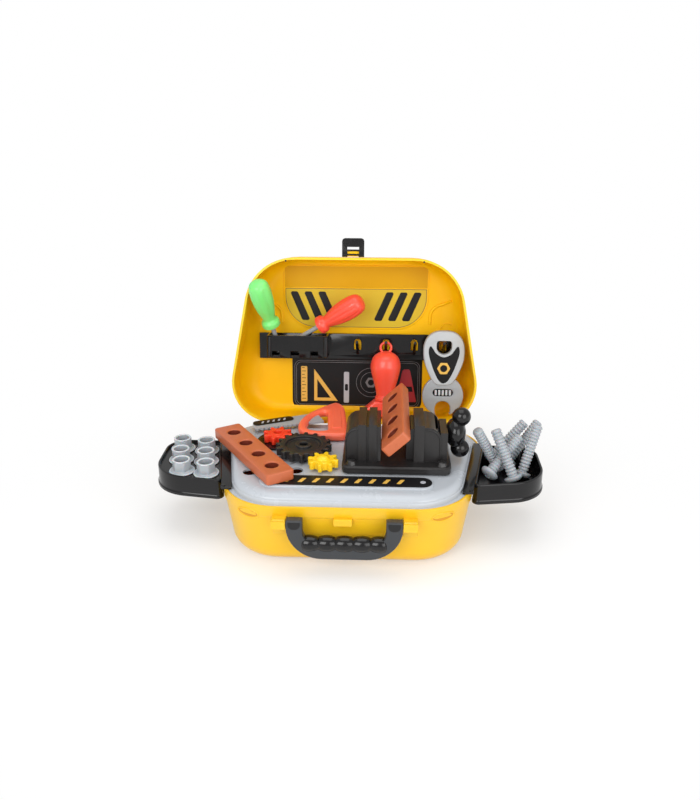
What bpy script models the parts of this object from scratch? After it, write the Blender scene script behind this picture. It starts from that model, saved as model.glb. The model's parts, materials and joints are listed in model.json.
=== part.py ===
"""Toy tool set: a carry case that opens into a small workbench with pretend tools.

Metres, +Z up, +Y towards the hinge. The origin is on the floor under the middle of the base.
"""
import math

import bmesh
import bpy
from mathutils import Matrix, Vector

# Gaps, seams and the facets of round shapes
SEAT_GAP = 0.0003
CUT_OVERRUN = 0.004
JOIN_DEPTH = 0.0008
MERGE = 0.000001
CORNER_STEPS = 4
ROUND_SIDES = 16
MEDIUM_SIDES = 12
SMALL_SIDES = 8
SMOOTH_ANGLE = math.radians(35)
ARCH_share = 0.98

# Case plan: a rounded trapezoid, widest at the hinge
CASE_DEPTH = 0.180
CASE_FRONT_HALF = 0.109
CASE_BACK_HALF = 0.142
CASE_FRONT_RADIUS = 0.055
CASE_BACK_RADIUS = 0.044
CASE_WALL = 0.002

# Base tub
BASE_HEIGHT = 0.0645
BASE_STEP_DROP = 0.0105
BASE_STEP_INSET = 0.0008
BASE_DRAFT = 0.0065
BASE_FILLET = 0.018
LEDGE_DROP = 0.0025
LEDGE_WIDTH = 0.007
LEDGE_THICK = 0.002

# Lid shell and its hinge
LID_HEIGHT = 0.050
LID_DRAFT = 0.0015
LID_SIDE_FILLET = 0.025
LID_END_FILLET = 0.010
LID_LEAN = math.radians(9.5)
LID_HEIGHT_shares = (0.0, 0.4, 0.6, 0.75, 0.87, 0.95, 1.0)
HINGE_SETBACK = 0.003
HINGE_DROP = 0.002
HINGE_INSET = 0.028
HINGE_KNUCKLE_RADIUS = 0.0027
HINGE_PIN_RADIUS = 0.0012
HINGE_PIN_HEAD = 0.002
HINGE_HEAD_LENGTH = 0.001
HINGE_LID_KNUCKLE = 0.012
HINGE_BASE_KNUCKLE = 0.007

# Latch on the free edge of the lid
LATCH_X = -0.00175
LATCH_WIDTH = 0.0233
LATCH_REACH = 0.0172
LATCH_THICK = 0.0035
LATCH_LEG = 0.0056
LATCH_LEG_END = 0.0024
LATCH_STANDOFF = 0.0032
LATCH_DEPTH = 0.0032
LATCH_PIN_RADIUS = 0.0011
LATCH_SLOT_WIDTH = 0.0125
LATCH_SLOT_HEIGHT = 0.0026
LATCH_SLOT_RISE = 0.0055
LATCH_LEG_RISE = 0.0037
LATCH_CORNER = 0.003

# Carry handle and the lugs that hold it
HANDLE_HALF = 0.0523
HANDLE_ARM = 0.015
HANDLE_TOP = 0.057
HANDLE_BOTTOM = 0.0186
HANDLE_BAR = 0.0145
HANDLE_THICK = 0.0095
HANDLE_BEND = 0.032
HANDLE_INNER_BEND = 0.013
HANDLE_EDGE = 0.001
HANDLE_AXIS_OUT = 0.008
HANDLE_AXIS_Z = 0.0523
HANDLE_PIN_RADIUS = 0.0024
HANDLE_PIN_LENGTH = 0.006
GRIP_RADIUS = 0.0064
GRIP_BULGE = 0.0012
GRIP_PITCH = 0.0158
GRIP_COUNT = 5
LUG_WIDTH = 0.013
LUG_OUT = 0.0125
LUG_SUNK = 0.0017
LUG_TOP = 0.0562
LUG_NECK = 0.0487
LUG_NECK_OUT = 0.0015
LUG_BOTTOM = 0.035
LUG_BOTTOM_SUNK = 0.0051
CATCH_WIDTH = 0.017
CATCH_HEIGHT = 0.007
CATCH_DEPTH = 0.004
CATCH_Z = 0.0477
CATCH_SUNK = 0.0015

# Worktop
WORKTOP_TOP = 0.0745
WORKTOP_BACK_LEDGE = 0.0686
WORKTOP_FLANGE = 0.002
WORKTOP_WALL = 0.0022
WORKTOP_SIDE_INSET = 0.0075
WORKTOP_BACK_INSET = 0.0045
WORKTOP_PLATEAU_BACK = 0.063
WORKTOP_SHOULDER = 0.006
WORKTOP_DRAFT = 0.0005
BOSS_HALF = 0.0805
BOSS_FRONT_Y = -0.072
BOSS_BACK_Y = -0.047
BOSS_RISE = 0.0015
BOSS_RADIUS = 0.0122
BOSS_EDGE = 0.0006
BOLT_HOLE_RADIUS = 0.0065
BOLT_HOLES = ((-0.0925, -0.042), (-0.0487, -0.037))

# Gears: one module, so that the small gears turn twice as fast as the large one
GEAR_MODULE = 0.0032
GEAR_LARGE_TEETH = 16
GEAR_SMALL_TEETH = 8
GEAR_ADDENDUM = 0.0020
GEAR_DEDENDUM = 0.0025
GEAR_TOOTH_share = 0.415
GEAR_PRESSURE = math.radians(20)
GEAR_THICK = 0.008
GEAR_BACKLASH = 0.0002
GEAR_SEAT_HEIGHT = 0.0025
GEAR_SEAT_RADIUS = 0.021
GEAR_PEG_RADIUS = 0.004
GEAR_PEG_RISE = 0.001
GEAR_BOSS_RADIUS = 0.008
GEAR_RECESS_OUTER = 0.018
GEAR_RECESS_INNER = 0.008
GEAR_RECESS_DEPTH = 0.002
GEAR_KNOB_RADIUS = 0.0065
GEAR_KNOB_HEIGHT = 0.003
BLACK_GEAR = (-0.045, 0.0)
RED_GEAR_ANGLE = math.radians(138.4)
YELLOW_GEAR_ANGLE = math.radians(-55.9)

# Planks
PLANK_LENGTH = 0.128
PLANK_WIDTH = 0.028
PLANK_THICK = 0.0105
PLANK_HOLE_RADIUS = 0.0065
PLANK_HOLE_PITCH = 0.0297
PLANK_HOLE_COUNT = 4
PLANK_CORNER = 0.003
PLANK_EDGE = 0.001
PLANK_FLAT_PLACE = (-0.0941, -0.013)
PLANK_FLAT_TURN = math.radians(32.8)
PLANK_FLAT_FAR = 0.045
PLANK_CLAMP_ROLL = math.radians(-43)
PLANK_CLAMP_Y = 0.014
PLANK_CLAMP_Z = 0.109

# Vise
VISE_LEFT = -0.0054
VISE_LENGTH = 0.103
VISE_FRONT_Y = -0.044
VISE_BACK_Y = 0.022
VISE_PLATE = 0.0082
VISE_PLATE_CORNER = 0.006
VISE_EDGE = 0.0015
VISE_DOME_RADIUS = 0.0055
VISE_DOME_INSET = 0.009
VISE_TOP = 0.118
VISE_JAW_FRONT_Y = -0.030
VISE_JAW_BACK_Y = 0.010
VISE_FIXED_LEFT = -0.0027
VISE_FIXED_LENGTH = 0.0337
VISE_MOUTH = 0.024
VISE_SHOULDER = 0.013
VISE_JAW_LENGTH = 0.016
VISE_JAW_SHOWN = 0.007
VISE_JAW_FACE = 0.0025
VISE_HOOD_LENGTH = 0.0257
VISE_HOOD_WALL = 0.0026
VISE_FLANGE_LENGTH = 0.006
VISE_RIB_WIDTH = 0.0075
VISE_RIB_RISE = 0.0025
VISE_RIB_PROUD = 0.002
VISE_FIXED_RIBS = (0.0125, 0.0225)
VISE_HOOD_RIB = 0.0048
VISE_SCREW_Y = -0.011
VISE_SCREW_Z = 0.1055
VISE_SCREW_RADIUS = 0.0035
VISE_TRAVEL = 0.0065
VISE_HUB_RADIUS = 0.0135
VISE_HUB_LENGTH = 0.012
VISE_HUB_PROFILE_shares = (
    (0.0, 1.0), (0.55, 0.9), (0.9, 0.65), (1.0, 0.42), (0.85, 0.16), (0.5, 0.0), (0.0, 0.0),
)
VISE_HUB_GAP = 0.0022
VISE_BALL_RADIUS = 0.009
VISE_BALL_REACH = 0.0165
VISE_BAR_RADIUS = 0.004

# Side trays and what lies in them, as (out from the case's side, along it from its middle)
TRAY_CORNERS = (
    (SEAT_GAP, -0.0508),
    (0.0705, -0.0267),
    (0.0557, 0.0539),
    (SEAT_GAP, 0.0437),
)
TRAY_BOTTOM = 0.048
TRAY_TOP = 0.068
TRAY_INNER_RADIUS = 0.006
TRAY_FRONT_RADIUS = 0.038
TRAY_BACK_RADIUS = 0.022
TRAY_LIP_HEIGHT = 0.0025
TRAY_LIP_PROUD = 0.0012
TRAY_EDGE = 0.0005
TRAY_WALL = 0.0018
TRAY_FLOOR = 0.0023
TRAY_SHELF_DROP = 0.0027
TRAY_FOOT = 0.0016
FLANGE_FRONT_Y = -0.060
FLANGE_BACK_Y = 0.047
FLANGE_THICK = 0.0027
TONGUE_THICK = 0.0021
TONGUE_REACH = 0.006
TONGUES_Y = ((-0.038, -0.024), (0.012, 0.026))

# Nuts and bolts
NUT_FLANGE_RADIUS = 0.012
NUT_FLANGE_HEIGHT = 0.003
NUT_HEX_RADIUS = 0.0095
NUT_HEIGHT = 0.013
NUT_BORE = 0.006
NUT_PLACES = (
    (0.0400, -0.0186),
    (0.0166, -0.0269),
    (0.0416, 0.0061),
    (0.0170, -0.0015),
    (0.0409, 0.0319),
    (0.0168, 0.0234),
)
BOLT_LENGTH = 0.050
BOLT_RADIUS = 0.0052
BOLT_HEAD_RADIUS = 0.009
BOLT_HEAD_RIM = 0.0016
BOLT_HEAD_DOME = 0.0038
BOLT_SOCKET_RADIUS = 0.003
BOLT_SOCKET_DEPTH = 0.0025
BOLT_POSES = (
    ((0.0197, 0.0143, 0.0600), (-0.0016, 0.0002, 0.1030)),
    ((0.0136, -0.0087, 0.0625), (0.0387, 0.0256, 0.0889)),
    ((0.0121, 0.0311, 0.0598), (0.0427, 0.0446, 0.0964)),
    ((0.0369, -0.0089, 0.0603), (0.0158, 0.0040, 0.1038)),
    ((0.0442, 0.0117, 0.0557), (0.0560, 0.0293, 0.1010)),
    ((0.0298, 0.0323, 0.0588), (0.0562, 0.0581, 0.0924)),
)

# Tool rack in the lid, as (x, depth from the hinge line, height up the lid)
RACK_MARGIN = 0.034
RACK_BOTTOM = 0.068
RACK_TOP = 0.097
RACK_FRONT = 0.042
RACK_THICK = 0.003
RACK_POST_RADIUS = 0.0035
RACK_POST_X_share = 0.92
HOLDER_INSET = 0.011
HOLDER_WIDTH = 0.0675
HOLDER_BOTTOM = 0.0725
HOLDER_FRONT = 0.021
HOLDER_WALL = 0.002
HOLDER_NOTCHES = ((0.010, 0.0085), (0.031, 0.0095), (0.0525, 0.0085))
HOLDER_NOTCH_HEIGHT = 0.007
PEG_LAST_INSET = 0.0102
PEG_PITCH = 0.0317
PEG_COUNT = 4
PEG_ROOT = 0.075
PEG_RADIUS = 0.00175
PEG_REACH = 0.0295
PEG_RISE = math.radians(30)
PEG_ARCH_HALF = 0.004
PEG_ARCH_BOTTOM = 0.079
PEG_ARCH_TOP = 0.0915

# Screwdrivers, from the tip of the shaft to the end of the handle; tips as (x in the holder, height)
DRIVER_SHAFT_RADIUS = 0.0025
DRIVER_SHAFT_SHOWN = 0.038
DRIVER_SHAFT_SUNK = 0.012
DRIVER_HANDLE_LENGTH = 0.0585
DRIVER_RADIUS_shares = (0.62, 1.0, 1.0, 0.62, 0.66, 0.82, 0.90, 0.90, 0.80, 0.52, 0.0)
DRIVER_LENGTH_shares = (0.0, 0.03, 0.11, 0.17, 0.24, 0.40, 0.60, 0.78, 0.91, 0.985, 1.0)
DRIVER_COLLAR_RADIUS = 0.0104
GREEN_TIP = (0.0135, 0.0758)
GREEN_LEAN = (-0.200, -0.485, 0.851)
RED_TIP = (0.0270, 0.0878)
RED_LEAN = (0.809, -0.285, 0.513)

# Hammer, hung on the second peg
HAMMER_DEPTH = 0.0238
HAMMER_RING_MAJOR = 0.0058
HAMMER_RING_MINOR = 0.0014
HAMMER_RADIUS = 0.0165
HAMMER_PROFILE_shares = (
    (0.20, 0.850), (0.55, 0.825), (0.86, 0.775), (1.0, 0.690), (0.97, 0.620), (0.84, 0.520),
    (0.68, 0.420), (0.61, 0.345), (0.62, 0.320), (0.68, 0.310), (0.68, 0.277), (0.60, 0.273),
)
HAMMER_LENGTH = 0.095
HAMMER_TENON_RADIUS = 0.006
HAMMER_TENON_BOTTOM = 0.013
HAMMER_HEAD_BOTTOM = 0.0076
HAMMER_HEAD_TOP = 0.0245
HAMMER_HEAD_HALF = 0.0235
HAMMER_HEAD_THICK = 0.020
HAMMER_HEAD_CORNER = 0.004
HAMMER_HEAD_SLOPE_share = 0.5
HAMMER_HEAD_FACE_share = 0.45
HAMMER_HEAD_EDGE = 0.002

# Wrench, hung on the fourth peg
WRENCH_DEPTH = 0.015
WRENCH_THICK = 0.008
WRENCH_HOLE_RADIUS = 0.007
WRENCH_TOP = 0.1050
WRENCH_TOP_HALF = 0.015
WRENCH_WIDEST = 0.078
WRENCH_HALF = 0.0245
WRENCH_WAIST = 0.050
WRENCH_WAIST_HALF = 0.016
WRENCH_BEND = 0.013
WRENCH_HEAD_RADIUS = 0.0226
WRENCH_HEAD_UP = 0.033
WRENCH_TIP = 0.0095
WRENCH_SLOT_HALF = 0.0085
WRENCH_SLOT_TOP = 0.027
WRENCH_WHEEL_UP = 0.0395
WRENCH_WHEEL_HEIGHT = 0.008
WRENCH_RIB_PITCH = 0.0034
WRENCH_RIB_SLOT = 0.0019
WRENCH_RIB_COUNT = 5
WRENCH_EDGE = 0.001

# Saw, laid flat behind the gears
SAW_THICK = 0.009
SAW_EDGE = 0.0015
SAW_HANDLE = (
    (-0.0340, 0.0270), (-0.0025, 0.0270), (-0.0095, 0.1030), (-0.0210, 0.1160),
    (-0.0520, 0.0800), (-0.0565, 0.0440),
)
SAW_HANDLE_RADII = (0.010, 0.006, 0.010, 0.006, 0.018, 0.012)
SAW_OPENING = ((-0.0420, 0.0380), (-0.0230, 0.0385), (-0.0265, 0.0840), (-0.0440, 0.0680))
SAW_OPENING_RADIUS = 0.005
SAW_BLADE_START = (-0.0490, 0.0850)
SAW_BLADE_TURN = math.radians(24.5)
SAW_BLADE_LENGTH = 0.063
SAW_BLADE_SUNK = 0.010
SAW_BLADE_WIDTH = 0.024
SAW_BLADE_TIP = 0.018
SAW_BLADE_THICK = 0.0025
SAW_TOOTH_PITCH = 0.005
SAW_TOOTH_DEPTH = 0.002

# Places worked out from the sizes above
CASE_SLANT = math.hypot(1, (CASE_BACK_HALF - CASE_FRONT_HALF) / CASE_DEPTH)
CASE_FRONT_Y = -CASE_DEPTH / 2
HANDLE_AXIS_Y = CASE_FRONT_Y - HANDLE_AXIS_OUT
LUG_FRONT_Y = CASE_FRONT_Y - LUG_OUT
LUG_BACK_Y = CASE_FRONT_Y + LUG_SUNK
LUG_NECK_Y = CASE_FRONT_Y - LUG_NECK_OUT
LUG_BOTTOM_Y = CASE_FRONT_Y + LUG_BOTTOM_SUNK
HINGE_X = CASE_BACK_HALF - CASE_BACK_RADIUS - HINGE_INSET
RACK_HALF = CASE_BACK_HALF - RACK_MARGIN
HOLDER_LEFT = HOLDER_INSET - RACK_HALF
HOLDER_RIGHT = HOLDER_LEFT + HOLDER_WIDTH
PEG_FIRST_X = RACK_HALF - PEG_LAST_INSET - PEG_PITCH * (PEG_COUNT - 1)
LEDGE_Z = BASE_HEIGHT - LEDGE_DROP
WORKTOP_BOTTOM = LEDGE_Z + SEAT_GAP
HINGE_Y = CASE_DEPTH / 2 + HINGE_SETBACK
HINGE_Z = BASE_HEIGHT - HINGE_DROP
LID_RIM = HINGE_DROP + SEAT_GAP
LID_FLOOR = LID_RIM + LID_HEIGHT - CASE_WALL
LID_TOP = HINGE_SETBACK + CASE_DEPTH
BENCH = WORKTOP_TOP + SEAT_GAP
GEAR_BOTTOM = WORKTOP_TOP + GEAR_SEAT_HEIGHT + SEAT_GAP
GEAR_REACH = GEAR_MODULE * (GEAR_LARGE_TEETH + GEAR_SMALL_TEETH) / 2 + GEAR_BACKLASH

COLOURS = {
    "yellow_plastic": ((0.93, 0.56, 0.02), 0.32),
    "grey_plastic": ((0.46, 0.49, 0.52), 0.42),
    "black_plastic": ((0.016, 0.016, 0.018), 0.25),
    "red_plastic": ((0.90, 0.06, 0.035), 0.35),
    "green_plastic": ((0.16, 0.75, 0.19), 0.35),
    "gear_yellow_plastic": ((0.95, 0.56, 0.03), 0.38),
    "brown_plastic": ((0.60, 0.17, 0.06), 0.45),
    "tool_grey_plastic": ((0.35, 0.37, 0.38), 0.40),
    "bolt_grey_plastic": ((0.45, 0.47, 0.50), 0.35),
}


def clear_scene():
    """Start from an empty scene."""
    for old in list(bpy.data.objects):
        bpy.data.objects.remove(old)


def new_collection(name):
    """A collection linked to the scene."""
    made = bpy.data.collections.new(name)
    bpy.context.scene.collection.children.link(made)
    return made


clear_scene()
PARTS = new_collection("toy_tool_set")
CUTTERS = new_collection("cutters")


def paint(body, colour):
    """Give the body its moulded plastic."""
    material = bpy.data.materials.get(colour) or bpy.data.materials.new(colour)
    material.use_nodes = True
    shader = material.node_tree.nodes["Principled BSDF"]
    tint, roughness = COLOURS[colour]
    shader.inputs["Base Color"].default_value = (*tint, 1.0)
    shader.inputs["Roughness"].default_value = roughness
    shader.inputs["Metallic"].default_value = 0.0
    body.data.materials.clear()
    body.data.materials.append(material)
    body.data.shade_smooth()
    body.data.set_sharp_from_angle(angle=SMOOTH_ANGLE)
    return body


def new_body(name, mesh):
    """An object of the model."""
    body = bpy.data.objects.new(name, mesh)
    PARTS.objects.link(body)
    return body


def joint_frame(name, location, turn=0.0, parent=None):
    """An empty on a joint's axis, turned about X."""
    empty = bpy.data.objects.new(name, None)
    PARTS.objects.link(empty)
    empty.parent = parent
    empty.location = location
    empty.rotation_euler = (turn, 0, 0)
    return empty


def combine(body, tool, operation):
    """Join the tool to the body, or cut it out; the tool moves with the body."""
    PARTS.objects.unlink(tool)
    CUTTERS.objects.link(tool)
    tool.hide_render = True
    tool.display_type = "WIRE"
    tool.parent = body
    modifier = body.modifiers.new(operation.lower(), "BOOLEAN")
    modifier.operation = operation
    modifier.solver = "EXACT"
    modifier.object = tool
    return body


def join(body, tool):
    """Make the tool's shape part of the body."""
    return combine(body, tool, "UNION")


def cut(body, tool):
    """Take the tool's shape out of the body."""
    return combine(body, tool, "DIFFERENCE")


def frozen(body):
    """The body's finished mesh, with its modifiers applied; the body and its tools go."""
    bpy.context.view_layer.update()
    depsgraph = bpy.context.evaluated_depsgraph_get()
    mesh = bpy.data.meshes.new_from_object(body.evaluated_get(depsgraph))
    for tool in list(body.children):
        bpy.data.objects.remove(tool)
    bpy.data.objects.remove(body)
    return mesh


def mesh_from(build, name):
    """A mesh from the bmesh, with its faces pointing out."""
    bmesh.ops.recalc_face_normals(build, faces=build.faces)
    mesh = bpy.data.meshes.new(name)
    build.to_mesh(mesh)
    build.free()
    return mesh


def blocks(name, boxes):
    """Separate boxes in one object, each given by its lowest and highest corner."""
    build = bmesh.new()
    for low, high in boxes:
        middle = (Vector(low) + Vector(high)) / 2
        size = Vector(high) - Vector(low)
        matrix = Matrix.Translation(middle) @ Matrix.Diagonal((*size, 1))
        bmesh.ops.create_cube(build, size=1, matrix=matrix)
    return new_body(name, mesh_from(build, name))


def drums(name, places, radius, bottom, top, sides=ROUND_SIDES):
    """Upright cylinders in one object, one at each (x, y) place."""
    build = bmesh.new()
    for place in places:
        matrix = Matrix.Translation((*place, (bottom + top) / 2))
        bmesh.ops.create_cone(build, cap_ends=True, segments=sides, radius1=radius,
                              radius2=radius, depth=top - bottom, matrix=matrix)
    return new_body(name, mesh_from(build, name))


def rod(name, start, end, radius, sides=SMALL_SIDES):
    """A straight round bar between two points."""
    start, end = Vector(start), Vector(end)
    along = end - start
    matrix = Matrix.Translation((start + end) / 2) @ along.to_track_quat("Z", "Y").to_matrix().to_4x4()
    build = bmesh.new()
    bmesh.ops.create_cone(build, cap_ends=True, segments=sides, radius1=radius,
                          radius2=radius, depth=along.length, matrix=matrix)
    return new_body(name, mesh_from(build, name))


def ball(name, centre, radius, sides=ROUND_SIDES):
    """A sphere."""
    build = bmesh.new()
    bmesh.ops.create_uvsphere(build, u_segments=sides, v_segments=sides // 2, radius=radius,
                              matrix=Matrix.Translation(centre))
    return new_body(name, mesh_from(build, name))


def turned(name, profile, sides=ROUND_SIDES):
    """A turned body about Z; the profile of (radius, z) runs down its outer side."""
    mesh = bpy.data.meshes.new(name)
    points = [(radius, 0, z) for radius, z in profile]
    edges = [(index, index + 1) for index in range(len(points) - 1)]
    mesh.from_pydata(points, edges, [])
    body = new_body(name, mesh)
    screw = body.modifiers.new("turn", "SCREW")
    screw.axis = "Z"
    screw.angle = math.tau
    screw.steps = sides
    screw.render_steps = sides
    screw.use_merge_vertices = True
    screw.merge_threshold = MERGE
    return body


def rounded_outline(corners, radii, steps=CORNER_STEPS):
    """Points round a closed polygon; a corner with a radius is an arc, one without is sharp."""
    points = []
    for index, corner in enumerate(corners):
        here = Vector(corner)
        if radii[index] == 0:
            points.append(here)
            continue
        behind = (Vector(corners[index - 1]) - here).normalized()
        ahead = (Vector(corners[(index + 1) % len(corners)]) - here).normalized()
        half = behind.angle(ahead) / 2
        reach = radii[index] / math.tan(half)
        centre = here + (behind + ahead).normalized() * radii[index] / math.sin(half)
        first = here + behind * reach - centre
        last = here + ahead * reach - centre
        turn = math.atan2(first.x * last.y - first.y * last.x, first.dot(last))
        for step in range(steps + 1):
            points.append(centre + Matrix.Rotation(turn * step / steps, 2) @ first)
    return points


def shrunk(corners, amount):
    """The corners of a convex polygon with every edge moved in."""
    moved = []
    for index, corner in enumerate(corners):
        here = Vector(corner)
        behind = (Vector(corners[index - 1]) - here).normalized()
        ahead = (Vector(corners[(index + 1) % len(corners)]) - here).normalized()
        half = behind.angle(ahead) / 2
        moved.append(here + (behind + ahead).normalized() * amount / math.sin(half))
    return moved


def loft(name, rings):
    """A closed body through rings of equal length, capped at the first and the last."""
    build = bmesh.new()
    rows = [[build.verts.new(point) for point in ring] for ring in rings]
    for lower, upper in zip(rows, rows[1:]):
        for index in range(len(lower)):
            after = (index + 1) % len(lower)
            build.faces.new((lower[index], lower[after], upper[after], upper[index]))
    build.faces.new(list(reversed(rows[0])))
    build.faces.new(rows[-1])
    return new_body(name, mesh_from(build, name))


def plate(name, outlines, thickness, edge=0.0):
    """A flat body on z = 0 from closed outlines in XY, the later ones being holes."""
    curve = bpy.data.curves.new(name, "CURVE")
    curve.dimensions = "2D"
    curve.fill_mode = "BOTH"
    curve.extrude = thickness / 2 - edge
    curve.bevel_depth = edge
    curve.bevel_resolution = 0
    curve.offset = -edge
    for outline in outlines:
        spline = curve.splines.new("POLY")
        spline.points.add(len(outline) - 1)
        for point, place in zip(spline.points, outline):
            point.co = (place[0], place[1], 0, 1)
        spline.use_cyclic_u = True
    guide = new_body(name + "_outline", curve)
    mesh = frozen(guide)
    build = bmesh.new()
    build.from_mesh(mesh)
    bmesh.ops.remove_doubles(build, verts=build.verts, dist=MERGE)
    bmesh.ops.translate(build, verts=build.verts, vec=(0, 0, thickness / 2))
    return new_body(name, mesh_from(build, name))


def circle(place, radius, sides=ROUND_SIDES):
    """Points round a circle."""
    angles = [math.tau * step / sides for step in range(sides)]
    return [(place[0] + radius * math.cos(a), place[1] + radius * math.sin(a)) for a in angles]


def turn_mesh(body, matrix):
    """Turn or move the mesh of a body inside its own frame."""
    body.data.transform(matrix)
    return body


UPRIGHT = Matrix.Rotation(math.pi / 2, 4, "X")


def upright_plate(name, outlines, thickness, front_y, edge=0.0):
    """A plate drawn in (x, z), its front face at front_y."""
    body = plate(name, outlines, thickness, edge)
    return turn_mesh(body, Matrix.Translation((0, front_y + thickness, 0)) @ UPRIGHT)


def case_half_width(y):
    """Half the width of the case between its slanted sides."""
    return CASE_FRONT_HALF + (CASE_BACK_HALF - CASE_FRONT_HALF) * (y / CASE_DEPTH + 0.5)


def case_outline(front, side, back):
    """Plan of the case with each edge moved in by its own amount."""
    front_y = -CASE_DEPTH / 2 + front
    back_y = CASE_DEPTH / 2 - back
    front_x = case_half_width(front_y) - side * CASE_SLANT
    back_x = case_half_width(back_y) - side * CASE_SLANT
    corners = [(-front_x, front_y), (front_x, front_y), (back_x, back_y), (-back_x, back_y)]
    front_radius = CASE_FRONT_RADIUS - (front + side) / 2
    back_radius = CASE_BACK_RADIUS - (back + side) / 2
    return rounded_outline(corners, [front_radius, front_radius, back_radius, back_radius])


def case_ring(z, front, side, back):
    """The plan of the case at one height."""
    return [(point.x, point.y, z) for point in case_outline(front, side, back)]


def side_strip(front_y, back_y, outer, inner):
    """Four corners of a strip along the right side, between two insets from the case's edge."""
    corners = []
    for y, inset in ((front_y, outer), (back_y, outer), (back_y, inner), (front_y, inner)):
        corners.append((case_half_width(y) - inset * CASE_SLANT, y))
    return corners


def mirrored(corners):
    """The same corners on the left side."""
    return [(-x, y) for x, y in reversed(corners)]


def base_rings():
    """Inner floor, inner wall, ledge, rim, outer wall and bottom of the tub."""
    rings = []
    arc = [math.pi / 2 * step / CORNER_STEPS for step in range(CORNER_STEPS + 1)]
    inner_fillet = BASE_FILLET - CASE_WALL
    for angle in reversed(arc):
        inset = BASE_DRAFT + CASE_WALL + inner_fillet * (1 - math.cos(angle))
        z = CASE_WALL + inner_fillet * (1 - math.sin(angle))
        rings.append(case_ring(z, inset, inset, inset))
    ledge_inset = CASE_WALL + LEDGE_WIDTH
    wall_inset = CASE_WALL + BASE_STEP_INSET
    for z, inset in (
        (LEDGE_Z - LEDGE_THICK - LEDGE_WIDTH, wall_inset),
        (LEDGE_Z - LEDGE_THICK, ledge_inset),
        (LEDGE_Z, ledge_inset),
        (LEDGE_Z, CASE_WALL),
        (BASE_HEIGHT, CASE_WALL),
        (BASE_HEIGHT, 0),
        (BASE_HEIGHT - BASE_STEP_DROP, 0),
        (BASE_HEIGHT - BASE_STEP_DROP - BASE_STEP_INSET, BASE_STEP_INSET),
    ):
        rings.append(case_ring(z, inset, inset, inset))
    for angle in arc:
        inset = BASE_DRAFT + BASE_FILLET * (1 - math.cos(angle))
        rings.append(case_ring(BASE_FILLET * (1 - math.sin(angle)), inset, inset, inset))
    return rings


def hinge_spans():
    """The lid's knuckle and the base's two knuckles on the right, as spans of x."""
    lid = (HINGE_X - HINGE_LID_KNUCKLE / 2, HINGE_X + HINGE_LID_KNUCKLE / 2)
    inner = (lid[0] - SEAT_GAP - HINGE_BASE_KNUCKLE, lid[0] - SEAT_GAP)
    outer = (lid[1] + SEAT_GAP, lid[1] + SEAT_GAP + HINGE_BASE_KNUCKLE)
    return lid, inner, outer


def both_sides(span):
    """A span of x on the right and its mirror image."""
    return (span, (-span[1], -span[0]))


def make_base():
    """The tub, with the handle's lugs, the catch and the hinge knuckles."""
    base = loft("base_shell", base_rings())
    lug = [(LUG_FRONT_Y, LUG_TOP), (LUG_BACK_Y, LUG_TOP), (LUG_BOTTOM_Y, LUG_BOTTOM),
           (LUG_BOTTOM_Y - CASE_WALL, LUG_BOTTOM), (LUG_NECK_Y, LUG_NECK), (LUG_FRONT_Y, LUG_NECK)]
    side_on = Matrix.Rotation(math.pi / 2, 4, "Z") @ Matrix.Rotation(math.pi / 2, 4, "X")
    for name, start in (("lug_right", HANDLE_HALF + SEAT_GAP),
                        ("lug_left", -HANDLE_HALF - SEAT_GAP - LUG_WIDTH)):
        tool = plate(name, [lug], LUG_WIDTH)
        join(base, turn_mesh(tool, Matrix.Translation((start, 0, 0)) @ side_on))
    catch_left = LATCH_X - CATCH_WIDTH / 2
    join(base, blocks("catch", [((catch_left, CASE_FRONT_Y - CATCH_DEPTH, CATCH_Z),
                                 (catch_left + CATCH_WIDTH, CASE_FRONT_Y + CATCH_SUNK,
                                  CATCH_Z + CATCH_HEIGHT))]))
    inner, outer = hinge_spans()[1:]
    wall_y = CASE_DEPTH / 2 - JOIN_DEPTH
    for index, (low, high) in enumerate(both_sides(inner) + both_sides(outer)):
        join(base, blocks(f"hinge_web_{index}", [((low, wall_y, HINGE_Z - HINGE_KNUCKLE_RADIUS),
                                                  (high, HINGE_Y, HINGE_Z))]))
        join(base, rod(f"hinge_knuckle_{index}", (low, HINGE_Y, HINGE_Z), (high, HINGE_Y, HINGE_Z),
                       HINGE_KNUCKLE_RADIUS, ROUND_SIDES))
    bore = HINGE_PIN_RADIUS + SEAT_GAP
    for name, side in (("hinge_bore_right", 1), ("hinge_bore_left", -1)):
        start = (side * (inner[0] - CUT_OVERRUN), HINGE_Y, HINGE_Z)
        end = (side * (outer[1] + CUT_OVERRUN), HINGE_Y, HINGE_Z)
        cut(base, rod(name, start, end, bore))
    for name, side in (("handle_bore_right", 1), ("handle_bore_left", -1)):
        start = (side * (HANDLE_HALF - CUT_OVERRUN), HANDLE_AXIS_Y, HANDLE_AXIS_Z)
        end = (side * (HANDLE_HALF + HANDLE_PIN_LENGTH + SEAT_GAP), HANDLE_AXIS_Y, HANDLE_AXIS_Z)
        cut(base, rod(name, start, end, HANDLE_PIN_RADIUS + SEAT_GAP))
    return paint(base, "yellow_plastic")


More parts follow.
